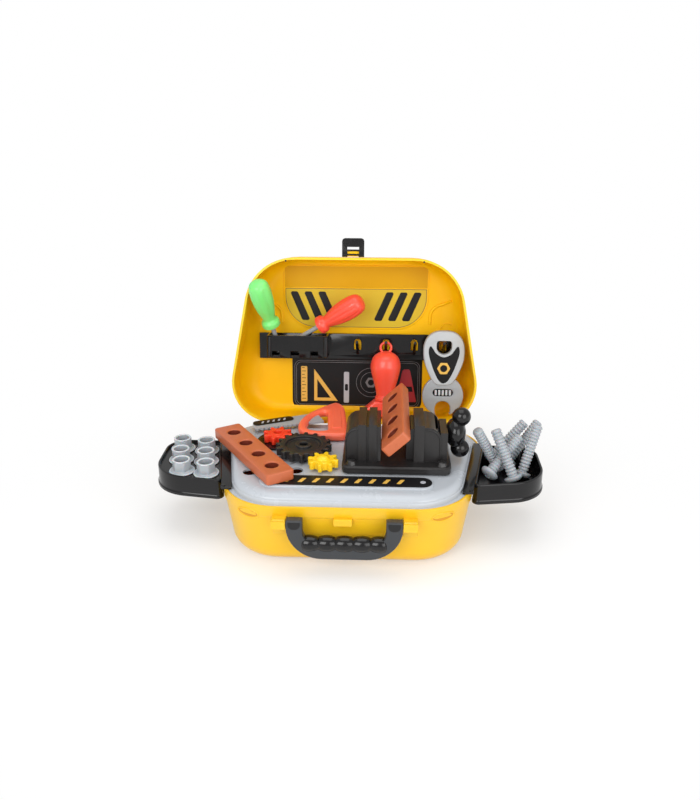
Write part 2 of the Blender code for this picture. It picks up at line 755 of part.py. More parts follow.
def make_hinge_pins():
    """A headed pin through the knuckles at each side."""
    inner, outer = hinge_spans()[1:]
    half = (outer[1] - inner[0]) / 2 + SEAT_GAP
    profile = [(0, half + HINGE_HEAD_LENGTH), (HINGE_PIN_HEAD, half + HINGE_HEAD_LENGTH),
               (HINGE_PIN_HEAD, half), (HINGE_PIN_RADIUS, half), (HINGE_PIN_RADIUS, -half),
               (HINGE_PIN_HEAD, -half), (HINGE_PIN_HEAD, -half - HINGE_HEAD_LENGTH),
               (0, -half - HINGE_HEAD_LENGTH)]
    for name, side in (("lid_hinge_pin_right", 1), ("lid_hinge_pin_left", -1)):
        pin = turned(name, profile, SMALL_SIDES)
        pin.rotation_euler = (0, math.pi / 2, 0)
        pin.location = (side * HINGE_X, HINGE_Y, HINGE_Z)
        paint(pin, "yellow_plastic")


def lid_inset(rise, height, fillet):
    """How far a wall of the lid has come in at a distance from its rim."""
    start = height - fillet
    inset = LID_DRAFT * rise / height
    if rise > start:
        inset += fillet - math.sqrt(max(fillet ** 2 - (rise - start) ** 2, 0))
    return inset


def lid_ring(rise, thickness):
    """A ring of the lid's outer face, or of its inner face where it has a thickness."""
    height = LID_HEIGHT - thickness
    side = lid_inset(rise, height, LID_SIDE_FILLET - thickness) + thickness
    end = lid_inset(rise, height, LID_END_FILLET - thickness) + thickness
    outline = case_outline(end, side, end)
    return [(point.x, LID_RIM + rise, HINGE_Y - point.y) for point in outline]


def make_lid(hinge):
    """The lid shell in the hinge's frame: x, depth from the hinge line, height up the lid."""
    rings = [lid_ring(share * (LID_HEIGHT - CASE_WALL), CASE_WALL)
             for share in reversed(LID_HEIGHT_shares)]
    rings += [lid_ring(share * LID_HEIGHT, 0) for share in LID_HEIGHT_shares]
    lid = loft("lid_shell", rings)
    lid.parent = hinge
    lid_span = hinge_spans()[0]
    corner = HINGE_SETBACK + JOIN_DEPTH
    for index, (low, high) in enumerate(both_sides(lid_span)):
        arm_back = LID_RIM + HINGE_KNUCKLE_RADIUS
        join(lid, blocks(f"lid_arm_{index}", [((low, 0, 0), (high, arm_back, HINGE_KNUCKLE_RADIUS))]))
        join(lid, blocks(f"lid_arm_end_{index}", [((low, LID_RIM + SEAT_GAP, HINGE_PIN_RADIUS),
                                                   (high, arm_back, corner))]))
        join(lid, rod(f"lid_knuckle_{index}", (low, 0, 0), (high, 0, 0),
                      HINGE_KNUCKLE_RADIUS, ROUND_SIDES))
        cut(lid, rod(f"lid_bore_{index}", (low - CUT_OVERRUN, 0, 0), (high + CUT_OVERRUN, 0, 0),
                     HINGE_PIN_RADIUS + SEAT_GAP))
    post_up = (RACK_BOTTOM + RACK_TOP) / 2
    post_x = RACK_HALF * RACK_POST_X_share
    post_front = RACK_FRONT + RACK_THICK + SEAT_GAP
    for index, x in enumerate((-post_x, 0, post_x)):
        join(lid, rod(f"rack_post_{index}", (x, post_front, post_up),
                      (x, LID_FLOOR + JOIN_DEPTH, post_up), RACK_POST_RADIUS))
    axis_up = LID_TOP + LATCH_STANDOFF
    half = LATCH_WIDTH / 2 - LATCH_LEG - SEAT_GAP
    axis_depth = LID_RIM + LATCH_DEPTH
    join(lid, blocks("latch_ear", [((LATCH_X - half, axis_depth - LATCH_LEG_END, LID_TOP - CASE_WALL / 2),
                                    (LATCH_X + half, axis_depth + LATCH_LEG_END, axis_up + LATCH_LEG_END))]))
    cut(lid, rod("latch_bore", (LATCH_X - half - CUT_OVERRUN, axis_depth, axis_up),
                 (LATCH_X + half + CUT_OVERRUN, axis_depth, axis_up), LATCH_PIN_RADIUS + SEAT_GAP))
    return paint(lid, "yellow_plastic")


def make_latch(hinge):
    """The clasp: a slotted plate on two legs, with the pin that runs through the lid's ear."""
    half = LATCH_WIDTH / 2
    leg = half - LATCH_LEG
    outline = [(-half, 0), (-leg, 0), (-leg, LATCH_LEG_RISE), (leg, LATCH_LEG_RISE), (leg, 0),
               (half, 0), (half, LATCH_REACH), (-half, LATCH_REACH)]
    radii = [0, 0, 0, 0, 0, 0, LATCH_CORNER, LATCH_CORNER]
    slot_half = LATCH_SLOT_WIDTH / 2
    slot = [(-slot_half, LATCH_SLOT_RISE), (slot_half, LATCH_SLOT_RISE),
            (slot_half, LATCH_SLOT_RISE + LATCH_SLOT_HEIGHT),
            (-slot_half, LATCH_SLOT_RISE + LATCH_SLOT_HEIGHT)]
    latch = upright_plate("latch", [rounded_outline(outline, radii, SMALL_SIDES // 4), slot],
                          LATCH_THICK, -LATCH_THICK / 2)
    for name, low, high in (("leg_end_left", -half, -leg), ("leg_end_right", leg, half)):
        join(latch, rod(name, (low, 0, 0), (high, 0, 0), LATCH_LEG_END, ROUND_SIDES))
    join(latch, rod("latch_pin", (-leg - JOIN_DEPTH, 0, 0), (leg + JOIN_DEPTH, 0, 0), LATCH_PIN_RADIUS))
    latch.parent = hinge
    latch.location = (LATCH_X, LID_RIM + LATCH_DEPTH, LID_TOP + LATCH_STANDOFF)
    return paint(latch, "black_plastic")


def make_handle():
    """The carry handle about its pivot: a flat U with a grip of finger bulges."""
    top = HANDLE_TOP - HANDLE_AXIS_Z
    bottom = HANDLE_BOTTOM - HANDLE_AXIS_Z
    inner = HANDLE_HALF - HANDLE_ARM
    bar_top = bottom + HANDLE_BAR
    outline = [(-HANDLE_HALF, top), (-HANDLE_HALF, bottom), (HANDLE_HALF, bottom), (HANDLE_HALF, top),
               (inner, top), (inner, bar_top), (-inner, bar_top), (-inner, top)]
    radii = [HANDLE_EDGE, HANDLE_BEND, HANDLE_BEND, HANDLE_EDGE,
             HANDLE_EDGE, HANDLE_INNER_BEND, HANDLE_INNER_BEND, HANDLE_EDGE]
    handle = upright_plate("carry_handle", [rounded_outline(outline, radii)], HANDLE_THICK,
                           -HANDLE_THICK / 2)
    half = GRIP_PITCH * GRIP_COUNT / 2
    steps = GRIP_COUNT * CORNER_STEPS
    profile = [(0, half)]
    for step in range(steps + 1):
        along = half - 2 * half * step / steps
        bulge = GRIP_BULGE * abs(math.cos(math.pi * along / GRIP_PITCH))
        profile.append((GRIP_RADIUS + bulge, along))
    profile.append((0, -half))
    grip = turned("grip", profile, SMALL_SIDES)
    grip.rotation_euler = (0, math.pi / 2, 0)
    grip.location = (0, 0, bar_top)
    join(handle, grip)
    for name, side in (("pin_right", 1), ("pin_left", -1)):
        join(handle, rod(name, (side * (HANDLE_HALF - HANDLE_PIN_LENGTH), 0, 0),
                         (side * (HANDLE_HALF + HANDLE_PIN_LENGTH), 0, 0), HANDLE_PIN_RADIUS))
    handle.location = (0, HANDLE_AXIS_Y, HANDLE_AXIS_Z)
    return paint(handle, "black_plastic")


def worktop_rings():
    """Underside, flange, shoulders, back ledge and plateau of the worktop shell."""
    lip = CASE_WALL + SEAT_GAP
    side = WORKTOP_SIDE_INSET
    back = WORKTOP_BACK_INSET
    wall = WORKTOP_WALL
    turn = WORKTOP_SHOULDER
    step = CASE_DEPTH / 2 - WORKTOP_PLATEAU_BACK
    flange_top = WORKTOP_BOTTOM + WORKTOP_FLANGE
    ledge = WORKTOP_BACK_LEDGE
    top = WORKTOP_TOP
    draft = WORKTOP_DRAFT
    inner_front = side + wall
    rings = [
        case_ring(top - wall, lip + turn + turn, side + turn + wall, step + turn),
        case_ring(ledge, inner_front + draft * 3, side + wall + draft * 3, step + wall + draft),
        case_ring(ledge - wall, inner_front + draft * 2, side + wall + draft * 2, step + wall),
        case_ring(ledge - wall, inner_front + draft, side + wall + draft, back + wall + draft),
        case_ring(WORKTOP_BOTTOM, inner_front, side + wall, back + wall),
        case_ring(WORKTOP_BOTTOM, lip, lip, lip),
        case_ring(flange_top, lip, lip, lip),
        case_ring(flange_top, lip + draft / 2, side, back),
        case_ring(ledge - draft, lip + draft, side + draft / 2, back + draft / 2),
        case_ring(ledge, lip + draft * 2, side + draft, back + draft * 2),
        case_ring(ledge + draft / 2, lip + draft * 3, side + draft * 2, step - draft * 2),
    ]
    arc = [math.pi / 2 * share / CORNER_STEPS for share in range(1, CORNER_STEPS + 1)]
    rise = top - ledge - draft / 2
    for angle in arc:
        in_by = 1 - math.cos(angle)
        z = ledge + draft / 2 + rise * math.sin(angle)
        rings.append(case_ring(z, lip + draft * 3 + 2 * turn * in_by, side + draft * 2 + turn * in_by,
                               step - draft * 2 + turn / 2 * in_by))
    return rings


def gear_place(angle):
    """Where a small gear stands when it meshes with the large one."""
    return (BLACK_GEAR[0] + GEAR_REACH * math.cos(angle), BLACK_GEAR[1] + GEAR_REACH * math.sin(angle))


def make_worktop():
    """The worktop shell with its label boss, gear pegs, bolt holes and tray slots."""
    worktop = loft("worktop", worktop_rings())
    corners = [(-BOSS_HALF, BOSS_FRONT_Y), (BOSS_HALF, BOSS_FRONT_Y),
               (BOSS_HALF, BOSS_BACK_Y), (-BOSS_HALF, BOSS_BACK_Y)]
    boss = plate("label_boss", [rounded_outline(corners, [BOSS_RADIUS] * 4)],
                 BOSS_RISE + JOIN_DEPTH, BOSS_EDGE)
    boss.location.z = WORKTOP_TOP - JOIN_DEPTH
    join(worktop, boss)
    red, yellow = gear_place(RED_GEAR_ANGLE), gear_place(YELLOW_GEAR_ANGLE)
    seat_top = GEAR_BOTTOM - SEAT_GAP
    join(worktop, drums("gear_bosses", [BLACK_GEAR, yellow], GEAR_BOSS_RADIUS,
                        WORKTOP_TOP - JOIN_DEPTH, seat_top))
    peg_top = GEAR_BOTTOM + GEAR_THICK + GEAR_PEG_RISE
    join(worktop, drums("gear_pegs", [BLACK_GEAR, red], GEAR_PEG_RADIUS,
                        WORKTOP_TOP - JOIN_DEPTH, peg_top))
    join(worktop, drums("short_peg", [yellow], GEAR_PEG_RADIUS,
                        WORKTOP_TOP - JOIN_DEPTH, GEAR_BOTTOM + GEAR_THICK - GEAR_PEG_RISE))
    cut(worktop, drums("bolt_holes", BOLT_HOLES, BOLT_HOLE_RADIUS,
                       WORKTOP_TOP - WORKTOP_WALL - CUT_OVERRUN, WORKTOP_TOP + CUT_OVERRUN))
    slot_low = WORKTOP_BOTTOM + WORKTOP_FLANGE + SEAT_GAP
    slot_high = tongue_bottom() + TONGUE_THICK + SEAT_GAP
    for index, (front_y, back_y) in enumerate(TONGUES_Y):
        corners = side_strip(front_y - SEAT_GAP, back_y + SEAT_GAP, WORKTOP_SIDE_INSET - CUT_OVERRUN,
                             WORKTOP_SIDE_INSET + WORKTOP_WALL + CUT_OVERRUN)
        for name, outline in (("right", corners), ("left", mirrored(corners))):
            slot = plate(f"slot_{name}_{index}", [outline], slot_high - slot_low)
            slot.location.z = slot_low
            cut(worktop, slot)
    return paint(worktop, "grey_plastic")


def tongue_bottom():
    """Height of the underside of the trays' tongues."""
    return BASE_HEIGHT + SEAT_GAP + (FLANGE_THICK - TONGUE_THICK) / 2


def beside(out, along):
    """A point beside the case: out from its right side, and along it from its middle."""
    lean = (CASE_BACK_HALF - CASE_FRONT_HALF) / CASE_DEPTH
    return (case_half_width(0) + (out + along * lean) / CASE_SLANT, (along - out * lean) / CASE_SLANT)


def tray_ring(z, inset):
    """Plan of the right tray at one height."""
    corners = [beside(*corner) for corner in TRAY_CORNERS]
    radii = [TRAY_INNER_RADIUS, TRAY_FRONT_RADIUS, TRAY_BACK_RADIUS, TRAY_INNER_RADIUS]
    outline = rounded_outline(shrunk(corners, inset), [radius - inset for radius in radii])
    return [(point.x, point.y, z) for point in outline]


def make_tray(name, side, shelf):
    """A side tray: a shelf close under the rim with a hollow below, or a basin."""
    wall = TRAY_LIP_PROUD + TRAY_EDGE + TRAY_WALL
    if shelf:
        floor = TRAY_TOP - TRAY_SHELF_DROP
        rings = [tray_ring(floor, wall + TRAY_EDGE)]
    else:
        floor = TRAY_BOTTOM + TRAY_FLOOR
        rings = [tray_ring(floor, wall + TRAY_EDGE + TRAY_FLOOR / 2),
                 tray_ring(floor + TRAY_FLOOR / 2, wall + TRAY_EDGE)]
    rings += [
        tray_ring(TRAY_TOP, wall),
        tray_ring(TRAY_TOP, TRAY_LIP_PROUD + TRAY_EDGE),
        tray_ring(TRAY_TOP - TRAY_EDGE, TRAY_LIP_PROUD),
        tray_ring(TRAY_BOTTOM + TRAY_LIP_HEIGHT + TRAY_LIP_PROUD, TRAY_LIP_PROUD),
        tray_ring(TRAY_BOTTOM + TRAY_LIP_HEIGHT, 0),
        tray_ring(TRAY_BOTTOM, 0),
    ]
    if shelf:
        rings += [tray_ring(TRAY_BOTTOM, TRAY_FOOT + TRAY_LIP_PROUD),
                  tray_ring(floor - TRAY_FLOOR, wall + TRAY_EDGE)]
    tray = loft(name, [[(side * x, y, z) for x, y, z in ring] for ring in rings])
    flange = side_strip(FLANGE_FRONT_Y, FLANGE_BACK_Y, -SEAT_GAP - TRAY_LIP_PROUD - TRAY_WALL / 2,
                        WORKTOP_SIDE_INSET - SEAT_GAP)
    outline = flange if side > 0 else mirrored(flange)
    strip = plate(name + "_flange", [outline], FLANGE_THICK)
    strip.location.z = BASE_HEIGHT + SEAT_GAP
    join(tray, strip)
    for index, (front_y, back_y) in enumerate(TONGUES_Y):
        corners = side_strip(front_y, back_y, WORKTOP_SIDE_INSET - JOIN_DEPTH * 2,
                             WORKTOP_SIDE_INSET + TONGUE_REACH)
        outline = corners if side > 0 else mirrored(corners)
        tongue = plate(f"{name}_tongue_{index}", [outline], TONGUE_THICK)
        tongue.location.z = tongue_bottom()
        join(tray, tongue)
    return paint(tray, "black_plastic")


def involute(angle):
    """How far an involute has turned at a pressure angle."""
    return math.tan(angle) - angle


def gear_outline(teeth, phase):
    """Outline of a spur gear with involute flanks, a tooth centred on the phase angle."""
    pitch = GEAR_MODULE * teeth / 2
    base = pitch * math.cos(GEAR_PRESSURE)
    root, tip = pitch - GEAR_DEDENDUM, pitch + GEAR_ADDENDUM
    half = GEAR_TOOTH_share * math.pi / teeth + involute(GEAR_PRESSURE)
    radii = [root, max(base, root)] if base > root else [root]
    radii += [pitch, tip]
    points = []
    for tooth in range(teeth):
        centre = phase + math.tau * tooth / teeth
        flank = []
        for radius in radii:
            turned_by = involute(math.acos(min(base / radius, 1)))
            flank.append((radius, half - turned_by))
        points += [(r, centre - a) for r, a in flank] + [(r, centre + a) for r, a in reversed(flank)]
    return [(r * math.cos(a), r * math.sin(a)) for r, a in points]


def mesh_phase(direction):
    """Phase of a small gear that meshes with the large one in this direction."""
    ratio = GEAR_LARGE_TEETH / GEAR_SMALL_TEETH
    return direction + math.pi + math.pi / GEAR_SMALL_TEETH + direction * ratio


def make_gears():
    """Three gears and the round seat under the red one."""
    red, yellow = gear_place(RED_GEAR_ANGLE), gear_place(YELLOW_GEAR_ANGLE)
    bore = GEAR_PEG_RADIUS + SEAT_GAP
    seat = plate("gear_seat", [circle((0, 0), GEAR_SEAT_RADIUS, ROUND_SIDES * 2), circle((0, 0), bore)],
                 GEAR_SEAT_HEIGHT - SEAT_GAP)
    seat.location = (*red, BENCH)
    paint(seat, "black_plastic")
    black = plate("gear_black", [gear_outline(GEAR_LARGE_TEETH, 0), circle((0, 0), bore)], GEAR_THICK)
    black.location = (*BLACK_GEAR, GEAR_BOTTOM)
    cut(black, plate("gear_recess", [circle((0, 0), GEAR_RECESS_OUTER), circle((0, 0), GEAR_RECESS_INNER)],
                     GEAR_RECESS_DEPTH + CUT_OVERRUN))
    black.children[0].location.z = GEAR_THICK - GEAR_RECESS_DEPTH
    paint(black, "black_plastic")
    outline = gear_outline(GEAR_SMALL_TEETH, mesh_phase(RED_GEAR_ANGLE))
    red_gear = plate("gear_red", [outline, circle((0, 0), bore)], GEAR_THICK)
    red_gear.location = (*red, GEAR_BOTTOM)
    paint(red_gear, "red_plastic")
    outline = gear_outline(GEAR_SMALL_TEETH, mesh_phase(YELLOW_GEAR_ANGLE))
    yellow_gear = plate("gear_yellow", [outline], GEAR_THICK)
    knob_top = GEAR_THICK + GEAR_KNOB_HEIGHT
    arc = [math.pi / 2 * step / CORNER_STEPS for step in range(CORNER_STEPS + 1)]
    profile = [(GEAR_KNOB_RADIUS * math.sin(a), knob_top - GEAR_KNOB_HEIGHT * (1 - math.cos(a)))
               for a in arc]
    profile += [(GEAR_KNOB_RADIUS, GEAR_THICK - JOIN_DEPTH), (0, GEAR_THICK - JOIN_DEPTH)]
    join(yellow_gear, turned("knob", profile))
    cut(yellow_gear, drums("yellow_bore", [(0, 0)], bore, -CUT_OVERRUN,
                           GEAR_THICK - GEAR_PEG_RISE + SEAT_GAP))
    yellow_gear.location = (*yellow, GEAR_BOTTOM)
    paint(yellow_gear, "gear_yellow_plastic")


def make_planks(vise_mouth_left):
    """Two planks with four holes: one laid flat, one held in the vise."""
    half_width, half_length = PLANK_WIDTH / 2, PLANK_LENGTH / 2
    corners = [(-half_width, -half_length), (half_width, -half_length),
               (half_width, half_length), (-half_width, half_length)]
    outlines = [rounded_outline(corners, [PLANK_CORNER] * 4, SMALL_SIDES // 4)]
    for index in range(PLANK_HOLE_COUNT):
        along = PLANK_HOLE_PITCH * (index - (PLANK_HOLE_COUNT - 1) / 2)
        outlines.append(circle((0, along), PLANK_HOLE_RADIUS, MEDIUM_SIDES))
    flat = plate("plank_flat", outlines, PLANK_THICK, PLANK_EDGE)
    near = (BOSS_BACK_Y - PLANK_FLAT_PLACE[1]) / math.cos(PLANK_FLAT_TURN) - half_width
    tilt = math.atan2(BOSS_RISE, PLANK_FLAT_FAR - near)
    flat.location = (*PLANK_FLAT_PLACE, BENCH + PLANK_FLAT_FAR * math.tan(tilt))
    flat.rotation_euler = (-tilt, 0, PLANK_FLAT_TURN)
    paint(flat, "brown_plastic")
    mesh = flat.data.copy()
    mesh.transform(Matrix.Translation((0, 0, -PLANK_THICK / 2)))
    clamped = new_body("plank_clamped", mesh)
    clamped.rotation_euler = (0, PLANK_CLAMP_ROLL, 0)
    clamped.location = (vise_mouth_left + SEAT_GAP + plank_half_span(), PLANK_CLAMP_Y, PLANK_CLAMP_Z)
    return clamped


def plank_half_span():
    """Half the width of the rolled plank, from one corner of its section to the other."""
    roll = abs(PLANK_CLAMP_ROLL)
    return PLANK_WIDTH / 2 * math.cos(roll) + PLANK_THICK / 2 * math.sin(roll)


def arch(low, high, bottom, top, shoulder, outer):
    """Side view of a jaw: a block with one rounded shoulder, on the left or on the right."""
    corners = [(low, bottom), (high, bottom), (high, top), (low, top)]
    radii = [0, 0, shoulder, 0] if outer == "right" else [0, 0, 0, shoulder]
    return rounded_outline(corners, radii)


def on_screw(x):
    """The point of the screw's axis at this x."""
    return Vector((x, VISE_SCREW_Y, VISE_SCREW_Z))


def make_vise():
    """The vise: base plate, fixed jaw, hood, sliding jaw and the screw with its handle."""
    plate_top = BENCH + VISE_PLATE
    root = plate_top - JOIN_DEPTH
    right = VISE_LEFT + VISE_LENGTH
    corners = [(VISE_LEFT, VISE_FRONT_Y), (right, VISE_FRONT_Y), (right, VISE_BACK_Y),
               (VISE_LEFT, VISE_BACK_Y)]
    vise = plate("vise_base", [rounded_outline(corners, [VISE_PLATE_CORNER] * 4, SMALL_SIDES // 3)],
                 VISE_PLATE, VISE_EDGE)
    turn_mesh(vise, Matrix.Translation((0, 0, BENCH)))
    fixed_right = VISE_FIXED_LEFT + VISE_FIXED_LENGTH
    jaw_left = fixed_right + VISE_MOUTH
    hood_left = jaw_left + VISE_JAW_SHOWN + SEAT_GAP
    hood_right = hood_left + VISE_HOOD_LENGTH
    width = VISE_JAW_BACK_Y - VISE_JAW_FRONT_Y
    join(vise, upright_plate("fixed_jaw", [arch(VISE_FIXED_LEFT, fixed_right, root, VISE_TOP,
                                                VISE_SHOULDER, "left")], width, VISE_JAW_FRONT_Y))
    join(vise, upright_plate("hood", [arch(hood_left, hood_right, root, VISE_TOP,
                                           VISE_SHOULDER, "right")], width, VISE_JAW_FRONT_Y))
    flange_top = VISE_TOP - VISE_SHOULDER
    join(vise, blocks("end_flange", [((hood_right - JOIN_DEPTH, VISE_JAW_FRONT_Y + VISE_HOOD_WALL, root),
                                      (hood_right + VISE_FLANGE_LENGTH, VISE_JAW_BACK_Y - VISE_HOOD_WALL,
                                       flange_top + VISE_SHOULDER / 2))]))
    ribs = [VISE_FIXED_LEFT + start for start in VISE_FIXED_RIBS] + [hood_left]
    for index, start in enumerate(ribs):
        wide = VISE_RIB_WIDTH if index < len(VISE_FIXED_RIBS) else VISE_RIB_WIDTH + VISE_RIB_PROUD
        join(vise, blocks(f"rib_{index}", [((start, VISE_JAW_FRONT_Y - VISE_RIB_PROUD, root),
                                            (start + wide, VISE_JAW_BACK_Y + VISE_RIB_PROUD,
                                             VISE_TOP + VISE_RIB_RISE))]))
    domes = [(VISE_LEFT + VISE_DOME_INSET, VISE_FRONT_Y + VISE_DOME_RADIUS + VISE_EDGE),
             (right - VISE_DOME_INSET, VISE_FRONT_Y + VISE_DOME_RADIUS + VISE_EDGE)]
    for index, place in enumerate(domes):
        dome = ball(f"dome_{index}", (0, 0, 0), VISE_DOME_RADIUS, SMALL_SIDES)
        dome.location = (*place, root)
        join(vise, dome)
    pocket_low = (hood_left - CUT_OVERRUN, VISE_JAW_FRONT_Y + VISE_HOOD_WALL, plate_top)
    pocket_high = (hood_right - VISE_HOOD_WALL, VISE_JAW_BACK_Y - VISE_HOOD_WALL, VISE_TOP - VISE_HOOD_WALL)
    cut(vise, blocks("hood_pocket", [(pocket_low, pocket_high)]))
    flange_right = hood_right + VISE_FLANGE_LENGTH
    bore = VISE_SCREW_RADIUS + SEAT_GAP
    cut(vise, rod("screw_bore", on_screw(hood_right - VISE_HOOD_WALL - CUT_OVERRUN),
                  on_screw(flange_right + CUT_OVERRUN), bore, ROUND_SIDES))
    paint(vise, "black_plastic")

    jaw_low = Vector((jaw_left, pocket_low[1] + SEAT_GAP, plate_top + SEAT_GAP))
    jaw_high = Vector((jaw_left + VISE_JAW_LENGTH, pocket_high[1] - SEAT_GAP, pocket_high[2] - SEAT_GAP))
    jaw_place = on_screw(jaw_left)
    jaw = blocks("vise_jaw", [(jaw_low - jaw_place, jaw_high - jaw_place)])
    jaw.location = jaw_place
    cut(jaw, rod("jaw_bore", (VISE_JAW_FACE, 0, 0), (VISE_JAW_LENGTH + CUT_OVERRUN, 0, 0), bore,
                 ROUND_SIDES))
    clamped = make_planks(fixed_right)
    half = Vector((PLANK_WIDTH / 2 + SEAT_GAP, PLANK_LENGTH / 2, PLANK_THICK / 2 + SEAT_GAP))
    notch = blocks("plank_notch", [(-half, half)])
    notch.rotation_euler = clamped.rotation_euler
    notch.location = Vector(clamped.location) - jaw_place
    cut(jaw, notch)
    paint(jaw, "black_plastic")
    paint(clamped, "brown_plastic")

    hub_left = flange_right + VISE_HUB_GAP
    profile = [(VISE_HUB_RADIUS * radius, VISE_HUB_LENGTH * along)
               for radius, along in VISE_HUB_PROFILE_shares]
    screw = turned("vise_handle", profile)
    screw.rotation_euler = (0, math.pi / 2, 0)
    screw.location = on_screw(hub_left)
    shaft_left = jaw_left + VISE_JAW_FACE + VISE_TRAVEL + SEAT_GAP - hub_left
    join(screw, rod("screw_shaft", (0, 0, shaft_left), (0, 0, CUT_OVERRUN), VISE_SCREW_RADIUS,
                    MEDIUM_SIDES))
    bar_x = VISE_HUB_LENGTH - VISE_BAR_RADIUS / 4
    join(screw, rod("bar", (-VISE_BALL_REACH, 0, bar_x), (VISE_BALL_REACH, 0, bar_x), VISE_BAR_RADIUS))
    for name, side in (("ball_low", 1), ("ball_high", -1)):
        knob = ball(name, (0, 0, 0), VISE_BALL_RADIUS, MEDIUM_SIDES)
        knob.location = (side * VISE_BALL_REACH, 0, bar_x)
        join(screw, knob)
    paint(screw, "black_plastic")


def make_nuts():
    """Six flanged nuts on the left tray."""
    nut = drums("nut", [(0, 0)], NUT_FLANGE_RADIUS, 0, NUT_FLANGE_HEIGHT)
    join(nut, drums("nut_hex", [(0, 0)], NUT_HEX_RADIUS, JOIN_DEPTH, NUT_HEIGHT, 6))
    cut(nut, drums("nut_bore", [(0, 0)], NUT_BORE, -CUT_OVERRUN, NUT_HEIGHT + CUT_OVERRUN,
                   MEDIUM_SIDES))
    mesh = frozen(nut)
    for index, place in enumerate(NUT_PLACES):
        x, y = beside(*place)
        body = new_body(f"nut_{index + 1}", mesh.copy())
        body.location = (-x, y, TRAY_TOP - TRAY_SHELF_DROP + SEAT_GAP)
        paint(body, "bolt_grey_plastic")


def make_bolts():
    """Six toy bolts leaning in the right tray, each given by the foot of its head and its lean."""
    dome = [math.pi / 2 * step / 3 for step in range(4)]
    profile = [(0, BOLT_LENGTH), (BOLT_RADIUS, BOLT_LENGTH), (BOLT_RADIUS, BOLT_HEAD_RIM),
               (BOLT_HEAD_RADIUS, BOLT_HEAD_RIM)]
    profile += [(BOLT_HEAD_RADIUS * math.cos(a), -BOLT_HEAD_DOME * math.sin(a)) for a in dome]
    bolt = turned("bolt", profile, MEDIUM_SIDES)
    socket = drums("bolt_socket", [(0, 0)], BOLT_SOCKET_RADIUS, -BOLT_HEAD_DOME - CUT_OVERRUN,
                   -BOLT_HEAD_DOME + BOLT_SOCKET_DEPTH, 6)
    mesh = frozen(cut(bolt, socket))
    for index, pose in enumerate(BOLT_POSES):
        foot, tip = (Vector((*beside(out, along), z)) for out, along, z in pose)
        body = new_body(f"bolt_{index + 1}", mesh.copy())
        body.location = foot
        body.rotation_mode = "QUATERNION"
        body.rotation_quaternion = (tip - foot).to_track_quat("Z", "Y")
        paint(body, "bolt_grey_plastic")


def make_rack(hinge):
    """The strip across the lid, with the screwdriver holder and four pegs."""
    outline = [(-RACK_HALF, RACK_BOTTOM), (RACK_HALF, RACK_BOTTOM), (RACK_HALF, RACK_TOP),
               (-RACK_HALF, RACK_TOP)]
    pegs = [PEG_FIRST_X + PEG_PITCH * index for index in range(PEG_COUNT)]
    outlines = [outline]
    for x in pegs:
        corners = [(x - PEG_ARCH_HALF, PEG_ARCH_BOTTOM), (x + PEG_ARCH_HALF, PEG_ARCH_BOTTOM),
                   (x + PEG_ARCH_HALF, PEG_ARCH_TOP), (x - PEG_ARCH_HALF, PEG_ARCH_TOP)]
        radius = PEG_ARCH_HALF * ARCH_share
        outlines.append(rounded_outline(corners, [0, 0, radius, radius], SMALL_SIDES // 3))
    rack = upright_plate("tool_rack", outlines, RACK_THICK, RACK_FRONT)
    join(rack, blocks("holder", [((HOLDER_LEFT, HOLDER_FRONT, HOLDER_BOTTOM),
                                  (HOLDER_RIGHT, RACK_FRONT + JOIN_DEPTH, RACK_TOP))]))
    cut(rack, blocks("holder_inside", [((HOLDER_LEFT + HOLDER_WALL, HOLDER_FRONT + HOLDER_WALL,
                                         HOLDER_BOTTOM + HOLDER_WALL),
                                        (HOLDER_RIGHT - HOLDER_WALL, RACK_FRONT, RACK_TOP + CUT_OVERRUN))]))
    notches = [((HOLDER_LEFT + x - width / 2, HOLDER_FRONT - CUT_OVERRUN, HOLDER_BOTTOM - CUT_OVERRUN),
                (HOLDER_LEFT + x + width / 2, HOLDER_FRONT + CUT_OVERRUN,
                 HOLDER_BOTTOM + HOLDER_NOTCH_HEIGHT))
               for x, width in HOLDER_NOTCHES]
    cut(rack, blocks("holder_notches", notches))
    for index, x in enumerate(pegs):
        start = Vector((x, RACK_FRONT + RACK_THICK / 2, PEG_ROOT))
        end = start + Vector((0, -PEG_REACH, PEG_REACH * math.tan(PEG_RISE)))
        join(rack, rod(f"peg_{index}", start, end, PEG_RADIUS, SMALL_SIDES))
    rack.parent = hinge
    return paint(rack, "black_plastic")


def make_screwdriver(colour, tip, lean, hinge):
    """A screwdriver in the holder: its shaft's tip touches the strip, its handle leans out."""
    along = Vector(lean).normalized()
    tilt = math.sqrt(1 - along.y ** 2)
    depth = RACK_FRONT - SEAT_GAP - DRIVER_SHAFT_RADIUS * tilt
    frame = joint_frame(f"screwdriver_{colour}_axis", (HOLDER_LEFT + tip[0], depth, tip[1]), 0, hinge)
    frame.rotation_mode = "QUATERNION"
    frame.rotation_quaternion = along.to_track_quat("Z", "Y")
    shaft = drums(f"screwdriver_{colour}_shaft", [(0, 0)], DRIVER_SHAFT_RADIUS, 0,
                  DRIVER_SHAFT_SHOWN + DRIVER_SHAFT_SUNK, SMALL_SIDES)
    shaft.parent = frame
    paint(shaft, "tool_grey_plastic")
    shown = DRIVER_SHAFT_SHOWN
    profile = [(DRIVER_COLLAR_RADIUS * radius, shown + DRIVER_HANDLE_LENGTH * length)
               for radius, length in zip(DRIVER_RADIUS_shares, DRIVER_LENGTH_shares)]
    handle = turned(f"screwdriver_{colour}_handle", list(reversed(profile)) + [(0, shown)])
    cut(handle, drums(f"{colour}_bore", [(0, 0)], DRIVER_SHAFT_RADIUS + SEAT_GAP, shown - CUT_OVERRUN,
                      shown + DRIVER_SHAFT_SUNK + SEAT_GAP, SMALL_SIDES))
    handle.parent = frame
    paint(handle, f"{colour}_plastic")


